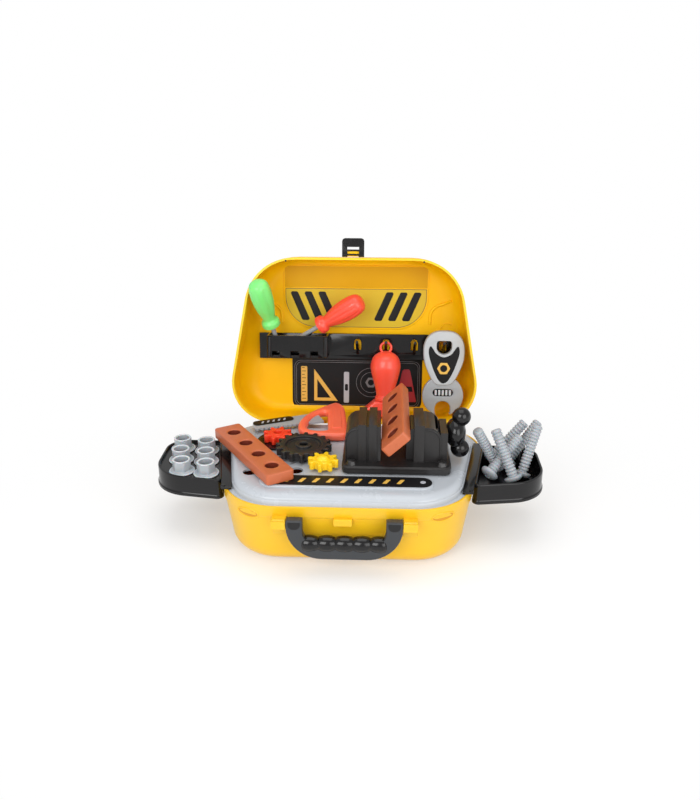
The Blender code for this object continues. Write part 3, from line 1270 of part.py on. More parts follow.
def peg_height(depth, over):
    """Height up the lid of what rests on a peg at this depth, its middle at over from the peg's face."""
    run = RACK_FRONT + RACK_THICK / 2 - depth
    return PEG_ROOT + run * math.tan(PEG_RISE) + (PEG_RADIUS + SEAT_GAP + over) / math.cos(PEG_RISE)


def make_hammer(hinge):
    """The hammer, hung by its ring: a turned handle with a tenon, and the head on it."""
    x = PEG_FIRST_X + PEG_PITCH
    frame = joint_frame("hammer_axis", (x, HAMMER_DEPTH, 0), 0, hinge)
    length = HAMMER_LENGTH
    profile = [(0, HAMMER_PROFILE_shares[0][1] * length)]
    profile += [(HAMMER_RADIUS * radius, length * up) for radius, up in HAMMER_PROFILE_shares]
    bottom = profile[-1][1]
    profile += [(HAMMER_TENON_RADIUS, bottom), (HAMMER_TENON_RADIUS, HAMMER_TENON_BOTTOM),
                (0, HAMMER_TENON_BOTTOM)]
    handle = turned("hammer_handle", profile)
    bpy.ops.mesh.primitive_torus_add(major_radius=HAMMER_RING_MAJOR, minor_radius=HAMMER_RING_MINOR,
                                     major_segments=ROUND_SIDES, minor_segments=SMALL_SIDES // 2)
    ring = bpy.context.active_object
    for home in ring.users_collection:
        home.objects.unlink(ring)
    PARTS.objects.link(ring)
    ring.rotation_euler = (math.pi / 2, 0, 0)
    ring.location = (0, 0, peg_height(HAMMER_DEPTH, HAMMER_RING_MINOR) - HAMMER_RING_MAJOR)
    join(handle, ring)
    handle.parent = frame
    paint(handle, "red_plastic")
    top = bottom - SEAT_GAP
    half, low = HAMMER_HEAD_HALF, HAMMER_HEAD_BOTTOM
    shoulder = half * HAMMER_HEAD_SLOPE_share
    face = low + (top - low) * HAMMER_HEAD_FACE_share
    outline = [(-half, low), (half, low), (half, face), (shoulder, top), (-shoulder, top), (-half, face)]
    head = upright_plate("hammer_head", [rounded_outline(outline, [HAMMER_HEAD_CORNER] * 6, 3)],
                         HAMMER_HEAD_THICK, -HAMMER_HEAD_THICK / 2, HAMMER_HEAD_EDGE)
    cut(head, drums("tenon_bore", [(0, 0)], HAMMER_TENON_RADIUS + SEAT_GAP,
                    HAMMER_TENON_BOTTOM - SEAT_GAP, top + CUT_OVERRUN))
    head.parent = frame
    paint(head, "red_plastic")


def make_wrench(hinge):
    """The flat wrench on the fourth peg: hanging hole, ribbed wheel window and open jaw."""
    x = PEG_FIRST_X + PEG_PITCH * (PEG_COUNT - 1)
    upper = [(-WRENCH_WAIST_HALF, WRENCH_WAIST), (WRENCH_WAIST_HALF, WRENCH_WAIST),
             (WRENCH_HALF, WRENCH_WIDEST), (WRENCH_TOP_HALF, WRENCH_TOP),
             (-WRENCH_TOP_HALF, WRENCH_TOP), (-WRENCH_HALF, WRENCH_WIDEST)]
    radii = [0, 0, WRENCH_BEND, WRENCH_BEND, WRENCH_BEND, WRENCH_BEND]
    hole_top = peg_height(WRENCH_DEPTH, 0)
    hole = circle((0, hole_top - WRENCH_HOLE_RADIUS), WRENCH_HOLE_RADIUS)
    wrench = upright_plate("wrench", [rounded_outline(upper, radii), hole], WRENCH_THICK, 0, WRENCH_EDGE)
    head = circle((0, WRENCH_HEAD_UP), WRENCH_HEAD_RADIUS, ROUND_SIDES * 2)
    join(wrench, upright_plate("wrench_head", [head], WRENCH_THICK, 0, WRENCH_EDGE))
    mouth = [(-WRENCH_SLOT_HALF, WRENCH_TIP - CUT_OVERRUN), (WRENCH_SLOT_HALF, WRENCH_TIP - CUT_OVERRUN),
             (WRENCH_SLOT_HALF, WRENCH_SLOT_TOP), (-WRENCH_SLOT_HALF, WRENCH_SLOT_TOP)]
    bend = WRENCH_SLOT_HALF * ARCH_share
    deep = WRENCH_THICK + 2 * CUT_OVERRUN
    cut(wrench, upright_plate("mouth", [rounded_outline(mouth, [0, 0, bend, bend])], deep, -CUT_OVERRUN))
    half_height = WRENCH_WHEEL_HEIGHT / 2
    slots = []
    for index in range(WRENCH_RIB_COUNT):
        middle = WRENCH_RIB_PITCH * (index - (WRENCH_RIB_COUNT - 1) / 2)
        slots.append(((middle - WRENCH_RIB_SLOT / 2, -CUT_OVERRUN, WRENCH_WHEEL_UP - half_height),
                      (middle + WRENCH_RIB_SLOT / 2, WRENCH_THICK + CUT_OVERRUN,
                       WRENCH_WHEEL_UP + half_height)))
    cut(wrench, blocks("wheel_slots", slots))
    wrench.parent = hinge
    wrench.location = (x, WRENCH_DEPTH, 0)
    return paint(wrench, "tool_grey_plastic")


def make_saw():
    """The saw lying flat: a D handle and the toothed blade that sits in its slot."""
    opening = rounded_outline(SAW_OPENING, [SAW_OPENING_RADIUS] * 4)
    outline = rounded_outline(SAW_HANDLE, SAW_HANDLE_RADII)
    handle = plate("saw_handle", [outline, opening], SAW_THICK, SAW_EDGE)
    handle.location.z = BENCH
    along = Vector((-math.cos(SAW_BLADE_TURN), -math.sin(SAW_BLADE_TURN)))
    across = Vector((math.sin(SAW_BLADE_TURN), -math.cos(SAW_BLADE_TURN)))

    def place(run, down):
        return Vector(SAW_BLADE_START) + along * run + across * down

    corners = [place(-SAW_BLADE_SUNK, 0), place(SAW_BLADE_LENGTH, 0),
               place(SAW_BLADE_LENGTH, SAW_BLADE_TIP), place(-SAW_BLADE_SUNK, SAW_BLADE_WIDTH)]
    tip = rounded_outline(corners, [0, SAW_BLADE_TIP / 3, SAW_TOOTH_DEPTH, 0])
    points = tip[:-1]
    teeth = int(SAW_BLADE_LENGTH / SAW_TOOTH_PITCH) - 1
    slope = (SAW_BLADE_WIDTH - SAW_BLADE_TIP) / (SAW_BLADE_LENGTH + SAW_BLADE_SUNK)
    for tooth in range(teeth):
        run = SAW_BLADE_LENGTH - SAW_TOOTH_PITCH * (tooth + 1)
        down = SAW_BLADE_TIP + slope * (SAW_BLADE_LENGTH - run)
        points.append(place(run, down - SAW_TOOTH_DEPTH))
        points.append(place(run - SAW_TOOTH_PITCH / 2, down))
    points.append(corners[3])
    blade = plate("saw_blade", [points], SAW_BLADE_THICK)
    middle = BENCH + SAW_THICK / 2
    blade.location.z = middle - SAW_BLADE_THICK / 2
    paint(blade, "tool_grey_plastic")
    slot = plate("blade_slot", [[place(-SAW_BLADE_SUNK - SEAT_GAP, -SEAT_GAP),
                                 place(SAW_BLADE_LENGTH, -SEAT_GAP),
                                 place(SAW_BLADE_LENGTH, SAW_BLADE_WIDTH + SEAT_GAP),
                                 place(-SAW_BLADE_SUNK - SEAT_GAP, SAW_BLADE_WIDTH + SEAT_GAP)]],
                 SAW_BLADE_THICK + 2 * SEAT_GAP)
    slot.location.z = SAW_THICK / 2 - SAW_BLADE_THICK / 2 - SEAT_GAP
    cut(handle, slot)
    return paint(handle, "red_plastic")


def make_everything():
    """All pieces in their places."""
    make_base()
    make_hinge_pins()
    hinge = joint_frame("lid_axis", (0, HINGE_Y, HINGE_Z), -LID_LEAN)
    make_lid(hinge)
    make_latch(hinge)
    make_rack(hinge)
    make_screwdriver("green", GREEN_TIP, GREEN_LEAN, hinge)
    make_screwdriver("red", RED_TIP, RED_LEAN, hinge)
    make_hammer(hinge)
    make_wrench(hinge)
    make_handle()
    make_worktop()
    make_tray("tray_left", -1, True)
    make_tray("tray_right", 1, False)
    make_gears()
    make_vise()
    make_saw()
    make_nuts()
    make_bolts()


make_everything()
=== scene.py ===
"""Looks of the toy tool set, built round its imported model. Lengths below are millimetres."""
import json
from math import acos, asin, atan2, cos, degrees, hypot, pi, radians, sin, sqrt, tan, tau

import bmesh
import bpy
from mathutils import Matrix, Vector


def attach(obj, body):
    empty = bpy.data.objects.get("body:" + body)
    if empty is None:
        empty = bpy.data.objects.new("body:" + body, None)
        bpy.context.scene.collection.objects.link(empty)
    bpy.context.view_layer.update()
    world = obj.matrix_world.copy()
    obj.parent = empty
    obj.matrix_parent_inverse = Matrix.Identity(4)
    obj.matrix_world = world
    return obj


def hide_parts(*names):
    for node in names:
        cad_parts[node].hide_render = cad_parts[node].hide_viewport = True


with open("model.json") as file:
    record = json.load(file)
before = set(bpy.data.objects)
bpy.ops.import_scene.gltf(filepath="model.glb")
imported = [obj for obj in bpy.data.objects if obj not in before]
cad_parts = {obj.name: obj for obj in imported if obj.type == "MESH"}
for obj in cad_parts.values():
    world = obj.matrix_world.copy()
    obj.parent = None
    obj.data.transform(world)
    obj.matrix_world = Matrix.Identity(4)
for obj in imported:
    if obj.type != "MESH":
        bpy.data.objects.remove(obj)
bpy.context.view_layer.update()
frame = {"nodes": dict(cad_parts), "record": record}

RECORD = frame["record"]
BODY_OF = {node: body for body, nodes in RECORD["behaviour"]["bodies"].items() for node in nodes}
MM = 0.001                  # a millimetre in metres
ROUND = 48                  # sides of a circle
STEPS = 12                  # steps round a corner
SHARP = radians(38)    # an edge that turns by more stays crisp
SIDES = ((-1, "left"), (1, "right"))
ORIGIN = (0, 0)

# ---- materials

PATCHES, GLOSS_PATCHES = 28.0, 90.0    # noise scales of the slow drift and of the gloss
GLOSS_SPREAD = 0.06
GRAIN_HEIGHT = 0.0004
COAT_ROUGHNESS = 0.08
SCATTER_DEPTH = 0.004


def srgb(red, green, blue):
    """A linear colour from one written in sRGB."""
    return [((c / 255 + 0.055) / 1.055) ** 2.4 if c > 10 else c / 3294.6
            for c in (red, green, blue)]


def tree_of(owner):
    """The nodes and the links of a material or a world."""
    owner.use_nodes = True
    return owner.node_tree.nodes, owner.node_tree.links


def fill(node, values):
    """The node with these values on its own sockets."""
    for name, value in values.items():
        node.inputs[name].default_value = value
    return node


def add(nodes, kind, values=None, **settings):
    """A new shader node with these settings, and with these values on its sockets."""
    node = nodes.new("ShaderNode" + kind)
    for name, value in settings.items():
        setattr(node, name, value)
    return fill(node, values or {})


def wire(links, *rows):
    """Links, each from an output of one node to an input of another."""
    for source, out, target, into in rows:
        links.new(source.outputs[out], target.inputs[into])


def plastic(name, colour, rough=0.3, coat=0.0, drift=0.05, grain=0.03, scale=1500.0,
            scatter=0.0, shine=0.5):
    """Moulded plastic: a slow drift of colour and gloss, and a fine grain."""
    made = bpy.data.materials.new(name)
    nodes, links = tree_of(made)
    shader = nodes["Principled BSDF"]
    place = add(nodes, "TexCoord")

    def noise(size, detail):
        texture = add(nodes, "TexNoise", {"Scale": size, "Detail": detail})
        wire(links, (place, "Object", texture, "Vector"))
        return texture

    darker = [c * (1 - drift) for c in colour] + [1]
    lighter = [min(c * (1 + drift), 1) for c in colour] + [1]
    mix = add(nodes, "Mix", {"A": darker, "B": lighter}, data_type="RGBA")
    gloss = add(nodes, "MapRange", {"To Min": max(rough - GLOSS_SPREAD, 0.02),
                                    "To Max": rough + GLOSS_SPREAD})
    bump = add(nodes, "Bump", {"Strength": grain, "Distance": GRAIN_HEIGHT})
    wire(links,
         (noise(PATCHES, 3.0), "Fac", mix, "Factor"), (mix, "Result", shader, "Base Color"),
         (noise(GLOSS_PATCHES, 4.0), "Fac", gloss, "Value"),
         (gloss, "Result", shader, "Roughness"),
         (noise(scale, 2.0), "Fac", bump, "Height"), (bump, "Normal", shader, "Normal"))
    fill(shader, {"Specular IOR Level": shine, "Coat Weight": coat,
                  "Coat Roughness": COAT_ROUGHNESS, "Subsurface Weight": scatter,
                  "Subsurface Scale": SCATTER_DEPTH})
    return made


YELLOW = plastic("yellow_plastic", srgb(234, 184, 26), 0.32, 0.1, scatter=0.08)
# painted shade: a darker copy of the case's yellow for the scoops in the front corners
SCOOP_SHADE_YELLOW = plastic("painted_shade_yellow_plastic", srgb(206, 142, 12), 0.4)
# painted light: the lid's yellow is a brighter, more saturated copy of the case's yellow, standing
# in for the light that bounces round inside the lid and shines through its wall
LID_LIT_YELLOW = plastic("lid_lit_yellow_plastic", srgb(255, 196, 4), 0.36, scatter=0.06, shine=0.2)
# painted highlight: a lighter copy of the lid's yellow for the lid's rim
LIP_HIGHLIGHT_YELLOW = plastic("lip_highlight_yellow_plastic", srgb(255, 206, 40), 0.30, 0.1)
# painted shade: a darker copy of the lid's yellow for the band along the top of the panel, where
# the lid's top wall shades it
PANEL_SHADE = plastic("panel_shade_yellow", srgb(214, 162, 4), 0.42, shine=0.15)
LABEL_YELLOW = plastic("label_yellow", srgb(214, 184, 48), 0.45, grain=0.01, shine=0.2)
LABEL_LINE = plastic("label_line", srgb(150, 118, 40), 0.5, grain=0.01)
GREY = plastic("bench_grey_plastic", srgb(180, 185, 191), 0.26, 0.2, drift=0.03)
BLACK = plastic("black_plastic", srgb(14, 13, 14), 0.17, 0.1, grain=0.02, shine=0.4)
SATIN_BLACK = plastic("satin_black_plastic", srgb(33, 31, 31), 0.32, grain=0.05, scale=2600.0)
SLATE = plastic("slate_plastic", srgb(46, 49, 53), 0.34, 0.1)
STICKER = plastic("black_sticker", srgb(15, 14, 16), 0.45, grain=0.01, shine=0.25)
STICKER_LINE = plastic("sticker_line", srgb(120, 118, 120), 0.4, grain=0.01)
STICKER_YELLOW = plastic("sticker_yellow", srgb(228, 180, 80), 0.4, grain=0.01)
STICKER_RED = plastic("sticker_red", srgb(170, 40, 50), 0.4, grain=0.01)
STICKER_GREY = plastic("sticker_grey", srgb(176, 178, 184), 0.4, grain=0.01)
RED = plastic("red_plastic", srgb(248, 82, 62), 0.33, 0.2, scatter=0.15)
SAW_RED = plastic("saw_red_plastic", srgb(255, 112, 80), 0.36, 0.1, scatter=0.15)
GEAR_BLACK = plastic("gear_black_plastic", srgb(40, 39, 39), 0.3, 0.1)
GEAR_RED = plastic("gear_red_plastic", srgb(240, 62, 34), 0.33, 0.2, scatter=0.1)
GREEN = plastic("green_plastic", srgb(126, 230, 122), 0.34, 0.2, scatter=0.2)
GEAR_YELLOW = plastic("gear_yellow_plastic", srgb(250, 204, 26), 0.36, 0.1, scatter=0.1)
BROWN = plastic("brown_plastic", srgb(192, 100, 60), 0.40, drift=0.07, grain=0.12, scale=1100.0)
# painted shade: a darker brown for the insides of the plank holes
HOLE_SHADE_BROWN = plastic("hole_shade_brown_plastic", srgb(118, 44, 24), 0.5, drift=0.07)
TOOL_GREY = plastic("tool_grey_plastic", srgb(160, 163, 166), 0.36, 0.1)
# painted highlight: a lighter copy of the tool grey for the wrench's raised rim, where light
# catches it
TOOL_RIM_HIGHLIGHT = plastic("tool_rim_highlight_plastic", srgb(184, 187, 189), 0.34, 0.1)
FASTENER = plastic("fastener_grey_plastic", srgb(166, 171, 176), 0.38, 0.1, scatter=0.2)
# painted highlight: a lighter copy of the fastener grey for the nuts' rims; the wrench's wheel
# ribs are drawn in it too
FASTENER_HIGHLIGHT_GREY = plastic("fastener_highlight_grey_plastic", srgb(200, 204, 208), 0.34, 0.1, scatter=0.2)
# painted shade: near-black for the shade in recesses and small holes, laid on as thin plates and
# dots
PAINTED_SHADE = plastic("painted_shade_recess", srgb(14, 14, 15), 0.6)

# ---- shapes


def new_object(name, data):
    made = bpy.data.objects.new(name, data)
    bpy.context.scene.collection.objects.link(made)
    return made


def baked(build, name):
    """A mesh from the bmesh, which is freed."""
    mesh = bpy.data.meshes.new(name)
    build.to_mesh(mesh)
    build.free()
    return mesh


def mesh_of(build):
    """A mesh from the bmesh, its faces pointing out."""
    bmesh.ops.recalc_face_normals(build, faces=build.faces)
    return baked(build, "shape")


def evaluated(made):
    """The object's mesh with its modifiers or its curve's bevel applied."""
    bpy.context.view_layer.update()
    shown = made.evaluated_get(bpy.context.evaluated_depsgraph_get())
    return bpy.data.meshes.new_from_object(shown)


def mesh_of_curve(curve, lines, closed):
    """The mesh of a bevelled curve through these lines of points."""
    for points in lines:
        spline = curve.splines.new("POLY")
        spline.points.add(len(points) - 1)
        for point, place in zip(spline.points, points):
            point.co = (*place, 1)
        spline.use_cyclic_u = closed
    guide = new_object("guide", curve)
    mesh = evaluated(guide)
    bpy.data.objects.remove(guide)
    return mesh


def at(mesh, *matrices):
    """The mesh moved by the matrices, the last one first."""
    for matrix in reversed(matrices):
        mesh.transform(matrix)
    return mesh


def shift(x, y, z):
    return Matrix.Translation((x, y, z))


def turn(angle, axis):
    return Matrix.Rotation(radians(angle), 4, axis)


def corner_of(corners, index, inset):
    """A corner, the directions to both sides, half their angle, and the corner moved in."""
    here = Vector(corners[index])
    behind = (Vector(corners[index - 1]) - here).normalized()
    ahead = (Vector(corners[(index + 1) % len(corners)]) - here).normalized()
    half = behind.angle(ahead) / 2
    return here, behind, ahead, half, here + (behind + ahead).normalized() * inset / sin(half)


def rounded(corners, radii, steps=STEPS):
    """Points round a closed polygon; a corner with a radius is an arc."""
    points = []
    for index, radius in enumerate(radii):
        if radius == 0:
            points.append(Vector(corners[index]))
            continue
        here, behind, ahead, half, centre = corner_of(corners, index, radius)
        reach = radius / tan(half)
        first = here + behind * reach - centre
        last = here + ahead * reach - centre
        swing = atan2(first.x * last.y - first.y * last.x, first.dot(last))
        for step in range(steps + 1):
            points.append(centre + Matrix.Rotation(swing * step / steps, 2) @ first)
    return points


def slab(left, low, right, high, radius=0.0):
    """A rectangle with round corners; the radii start at the lower left."""
    radii = radius if isinstance(radius, list) else [radius] * 4
    return rounded([(left, low), (right, low), (right, high), (left, high)], radii)


def circle(place, radius, sides=ROUND):
    """Points of a circle, or of a regular polygon with few sides."""
    angles = [tau * step / sides for step in range(sides)]
    return [Vector((place[0] + radius * cos(a), place[1] + radius * sin(a))) for a in angles]


def loft(rings, hoop=False):
    """A closed body through rings of equal length: capped at both ends, or a hoop."""
    build = bmesh.new()
    rows = [[build.verts.new(point) for point in ring] for ring in rings]
    for lower, upper in zip(rows, rows[1:] + rows[:1] if hoop else rows[1:]):
        for index in range(len(lower)):
            after = (index + 1) % len(lower)
            build.faces.new((lower[index], lower[after], upper[after], upper[index]))
    if not hoop:
        build.faces.new(list(reversed(rows[0])))
        build.faces.new(rows[-1])
    return mesh_of(build)


def plate(outlines, thick, edge=0.0, fine=3):
    """A flat body on z = 0; the outlines after the first are holes."""
    curve = bpy.data.curves.new("outline", "CURVE")
    curve.dimensions = "2D"
    curve.fill_mode = "BOTH"
    curve.extrude = thick / 2 - edge
    curve.bevel_depth = edge
    curve.bevel_resolution = fine
    curve.offset = -edge
    mesh = mesh_of_curve(curve, [[(*place, 0) for place in outline] for outline in outlines], True)
    build = bmesh.new()
    build.from_mesh(mesh)
    bpy.data.meshes.remove(mesh)
    bmesh.ops.remove_doubles(build, verts=build.verts, dist=0.001)
    bmesh.ops.translate(build, verts=build.verts, vec=(0, 0, thick / 2))
    return mesh_of(build)


def lying(outlines, thick, edge, height, fine=3):
    """A plate that lies at this height."""
    return at(plate(outlines, thick, edge, fine), shift(0, 0, height))


def upright(outlines, thick, edge, depth, fine=3):
    """A plate drawn in x and height, its back at this depth."""
    return at(plate(outlines, thick, edge, fine), shift(0, depth, 0) @ turn(90, "X"))


def tube(points, radius, closed=False, fine=3):
    """A wire through the points."""
    curve = bpy.data.curves.new("wire", "CURVE")
    curve.dimensions = "3D"
    curve.bevel_depth = radius
    curve.bevel_resolution = fine
    curve.use_fill_caps = True
    return mesh_of_curve(curve, [points], closed)


def spin(profile, sides=ROUND, wave=None):
    """A turned body about Z from (radius, z) pairs; wave(angle, z) scales the radius."""
    build = bmesh.new()
    rows = []
    for radius, z in profile:
        if radius < 0.001:
            rows.append([build.verts.new((0, 0, z))])
            continue
        row = []
        for step in range(sides):
            angle = tau * step / sides
            reach = radius * (wave(angle, z) if wave else 1)
            row.append(build.verts.new((reach * cos(angle), reach * sin(angle), z)))
        rows.append(row)
    for lower, upper in zip(rows, rows[1:]):
        for step in range(sides):
            after = (step + 1) % sides
            if len(lower) == 1:
                build.faces.new((lower[0], upper[after], upper[step]))
            elif len(upper) == 1:
                build.faces.new((lower[step], lower[after], upper[0]))
            else:
                build.faces.new((lower[step], lower[after], upper[after], upper[step]))
    return mesh_of(build)


def smooth(points, between=6, closed=False):
    """A smooth curve of points through the given ones."""
    made = []
    padded = [points[-1], *points, *points[:2]] if closed else [points[0], *points, points[-1]]
    for a, b, c, d in zip(padded, padded[1:], padded[2:], padded[3:]):
        for step in range(between):
            t = step / between
            made.append([0.5 * (2 * q + (r - p) * t + (2 * p - 5 * q + 4 * r - s) * t * t
                                + (3 * q - p - 3 * r + s) * t ** 3)
                         for p, q, r, s in zip(a, b, c, d)])
    return made if closed else made + [list(points[-1])]


def mirrored(half):
    """The points of a right half and then those of its mirror image, back to the start."""
    return half + [(-x, up) for x, up in reversed(half)]


def box(low, high):
    build = bmesh.new()
    low, high = Vector(low), Vector(high)
    matrix = Matrix.Translation((low + high) / 2) @ Matrix.Diagonal((*(high - low), 1))
    bmesh.ops.create_cube(build, size=1, matrix=matrix)
    return mesh_of(build)


def ball(centre, radius):
    build = bmesh.new()
    bmesh.ops.create_uvsphere(build, u_segments=36, v_segments=18, radius=radius,
                              matrix=Matrix.Translation(centre))
    return mesh_of(build)


def drum(place, radius, low, high, edge=0.3, sides=ROUND):
    """An upright cylinder with softened ends."""
    profile = [(0, low), (radius - edge, low), (radius, low + edge), (radius, high - edge),
               (radius - edge, high), (0, high)]
    return at(spin(profile, sides), shift(place[0], place[1], 0))


def rod(start, end, radius, edge=0.3, sides=32):
    """A round bar between two points."""
    start, along = Vector(start), Vector(end) - Vector(start)
    return at(drum(ORIGIN, radius, 0, along.length, edge, sides),
              Matrix.Translation(start) @ along.to_track_quat("Z", "Y").to_matrix().to_4x4())


def finish_piece(made, material, body, nodes, edge=0.0):
    """Material, smooth shading, softened edges and the body that the piece moves with."""
    made.data.materials.clear()
    made.data.materials.append(material)
    made.data.shade_smooth()
    made.data.set_sharp_from_angle(angle=SHARP)
    if edge:
        bevel = made.modifiers.new("edges", "BEVEL")
        bevel.width = edge * MM
        bevel.segments = 2
        bevel.limit_method = "ANGLE"
        bevel.angle_limit = SHARP
        bevel.harden_normals = True
    if nodes:
        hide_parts(*nodes)
    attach(made, body)
    return made


def piece(name, meshes, material, body, nodes=(), place=Matrix.Identity(4)):
    """One shown piece from meshes in millimetres."""
    build = bmesh.new()
    for mesh in meshes:
        build.from_mesh(mesh)
        bpy.data.meshes.remove(mesh)
    build.transform(Matrix.Scale(MM, 4) @ place)
    return finish_piece(new_object(name, baked(build, name)), material, body, nodes)


def dress(node, material, edge):
    """A solid of the frame with its flat faces made whole and its edges softened."""
    build = bmesh.new()
    build.from_mesh(frame["nodes"][node].data)
    bmesh.ops.remove_doubles(build, verts=build.verts, dist=0.000002)
    bmesh.ops.dissolve_limit(build, angle_limit=radians(0.5), verts=build.verts,
                             edges=build.edges)
    made = new_object(node + "_look", baked(build, node + "_look"))
    return finish_piece(made, material, BODY_OF[node], [node], edge)


def carve(made, mesh):
    """Cut a shape in millimetres out of a finished piece."""
    mesh.transform(Matrix.Scale(MM, 4))
    tool = new_object("cutter", mesh)
    modifier = made.modifiers.new("cut", "BOOLEAN")
    modifier.operation = "DIFFERENCE"
    modifier.solver = "EXACT"
    modifier.object = tool
    mesh = evaluated(made)
    made.modifiers.remove(modifier)
    made.data = mesh
    bpy.data.objects.remove(tool)
    made.data.set_sharp_from_angle(angle=SHARP)


# ---- base

DEPTH, FRONT, BACK = 180, 109, 142    # the case's depth and its half width in front and behind
SLANT = hypot(1, (BACK - FRONT) / DEPTH)
FRONT_CORNER, BACK_CORNER = 55, 44
WALL = 2
FOOT_RADIUS, FOOT_INSET = 18, 6.5
HINGE_Y, HINGE_Z, KNUCKLE = 93, 62.5, 2.7
HANDLE_Y, HANDLE_Z = -98, 52.3


def half_width(y):
    """Half the width of the case at this y."""
    return FRONT + (BACK - FRONT) * (y / DEPTH + 0.5)


def plan(front, side, back):
    """Plan of the case with each edge moved in by its own amount."""
    front_y, back_y = -DEPTH / 2 + front, DEPTH / 2 - back
    front_x, back_x = half_width(front_y) - side * SLANT, half_width(back_y) - side * SLANT
    radii = [FRONT_CORNER - (front + side) / 2] * 2 + [BACK_CORNER - (back + side) / 2] * 2
    return rounded([(-front_x, front_y), (front_x, front_y), (back_x, back_y), (-back_x, back_y)],
                   radii)


def ring(z, front, side, back):
    """The plan at a height."""
    return [(point.x, point.y, z) for point in plan(front, side, back)]


def even(z, inset):
    """The plan at a height, moved in evenly."""
    return ring(z, inset, inset, inset)


def scoop_edge(side, wide, high, out):
    """An oval that stands this far out of a front corner of the base."""
    edge = [point for point in plan(-out, -out, -out) if point.y < 0 and point.x > 0]
    points = []
    for step in range(32):
        angle = tau * step / 32
        x, z = 88.5 + wide * cos(angle), 54.4 + high * sin(angle)
        after = next(k for k in range(1, len(edge)) if edge[k].x >= x)
        low, top = edge[after - 1], edge[after]
        share = (x - low.x) / (top.x - low.x)
        points.append((side * x, low.y + (top.y - low.y) * share, z))
    return points


def make_base():
    """Tub with lugs for the handle, knuckles, a catch, and a scoop in each front corner drawn as a
    patch of painted shade.
    """
    arc = [pi / 2 * step / STEPS for step in range(STEPS + 1)]
    inner = FOOT_RADIUS - WALL
    rings = [even(WALL + inner * (1 - sin(a)), FOOT_INSET + WALL + inner * (1 - cos(a)))
             for a in reversed(arc)]
    rings += [even(z, inset) for z, inset in (
        (53, 2.8), (60, 9), (62, 9), (62, 2), (64.1, 2), (64.5, 1.6), (64.5, 0.4), (64.1, 0),
        (54.2, 0), (53.7, 0.2), (53.2, 0.8))]
    rings += [even(FOOT_RADIUS * (1 - sin(a)), FOOT_INSET + FOOT_RADIUS * (1 - cos(a)))
              for a in arc]
    shapes = [loft(rings)]
    lug = [(-102.5, 56.2), (-88.3, 56.2), (-84.9, 35), (-86.9, 35), (-91.5, 48.7), (-102.5, 48.7)]
    for side, start in ((-1, -65.6), (1, 52.6)):
        matrix = shift(start, 0, 0) @ turn(90, "Z") @ turn(90, "X")
        shapes.append(at(plate([lug], 13, 0.6), matrix))
        shapes.append(rod((side * 52.8, HANDLE_Y, HANDLE_Z), (side * 65.4, HANDLE_Y, HANDLE_Z),
                          4.6, 0.8))
        for near, far in ((56.7, 63.7), (76.3, 83.3)):
            low, high = sorted((side * near, side * far))
            shapes.append(box((low, 89.2, 59.8), (high, HINGE_Y, HINGE_Z)))
            shapes.append(rod((low, HINGE_Y, HINGE_Z), (high, HINGE_Y, HINGE_Z), KNUCKLE))
    catch = plate([slab(-8.5, -3.5, 8.5, 3.5, 0.8)], 5.2, 0.7)
    shapes.append(at(catch, shift(-1.75, -88.8, 51.2) @ turn(90, "X")))
    piece("base_shell_look", shapes, YELLOW, "base", ["base_shell"])
    for side, word in SIDES:
        # painted shade: the scoop is not hollowed; a thin oval in a darker yellow lies on the
        # surface where its shade falls
        scoop = loft([scoop_edge(side, 9.6, 3.5, -1.2), scoop_edge(side, 9.6, 3.5, 0.12)])
        piece(f"scoop_{word}", [scoop], SCOOP_SHADE_YELLOW, "base")
        lip = tube(scoop_edge(side, 10.2, 4.1, -0.2), 0.8, True)
        piece(f"scoop_lip_{word}", [lip], YELLOW, "base")


# ---- lid, drawn upright in its own frame

LEAN = 9.5                 # degrees that the open lid leans back
LID = shift(0, HINGE_Y, HINGE_Z) @ turn(-LEAN, "X")
LID_DEPTH = 50
RIM_START = 2.3            # from the hinge's plane to the rim
LID_DRAFT = 1.5            # how far a wall leans in over the lid's depth
SIDE_FILLET, END_FILLET = 25, 10
FILLET_CENTRE = 27.1       # depth of the centre of the fillet inside a side wall
RISES = (0.0, 0.35, 0.42, 0.5, 0.58, 0.66, 0.74, 0.8, 0.85, 0.89, 0.925, 0.95, 0.97, 0.985,
         0.995, 1.0)
# depths of the backs of the flat layers on the lid's floor
PANEL_DEPTH, STICKER_DEPTH, PRINT_DEPTH, LABEL_DEPTH = 50.6, 50.4, 50.05, 49.2
LINE = 0.4                 # width of a printed line


def lid_piece(name, meshes, material, nodes=()):
    """A piece that is drawn in the lid's frame and moves with the lid."""
    piece(name, meshes, material, "lid", nodes, LID)


def lid_ring(rise, thick):
    """Outline of the lid at this rise above its rim, moved in by a thickness."""
    height = LID_DEPTH - thick

    def inset(fillet):
        start = height - fillet
        amount = LID_DRAFT * rise / height
        if rise > start:
            amount += fillet - sqrt(max(fillet ** 2 - (rise - start) ** 2, 0))
        return amount + thick

    side, end = inset(SIDE_FILLET - thick), inset(END_FILLET - thick)
    return [(point.x, RIM_START + rise, HINGE_Y - point.y) for point in plan(end, side, end)]


def on_floor(side, x, up):
    """A point of the lid's floor, also where it curves up into a side wall."""
    past = max(x - half_width(HINGE_Y - up) + SIDE_FILLET + LID_DRAFT, 0)
    return side * x, FILLET_CENTRE + sqrt((SIDE_FILLET - WALL) ** 2 - past ** 2), up


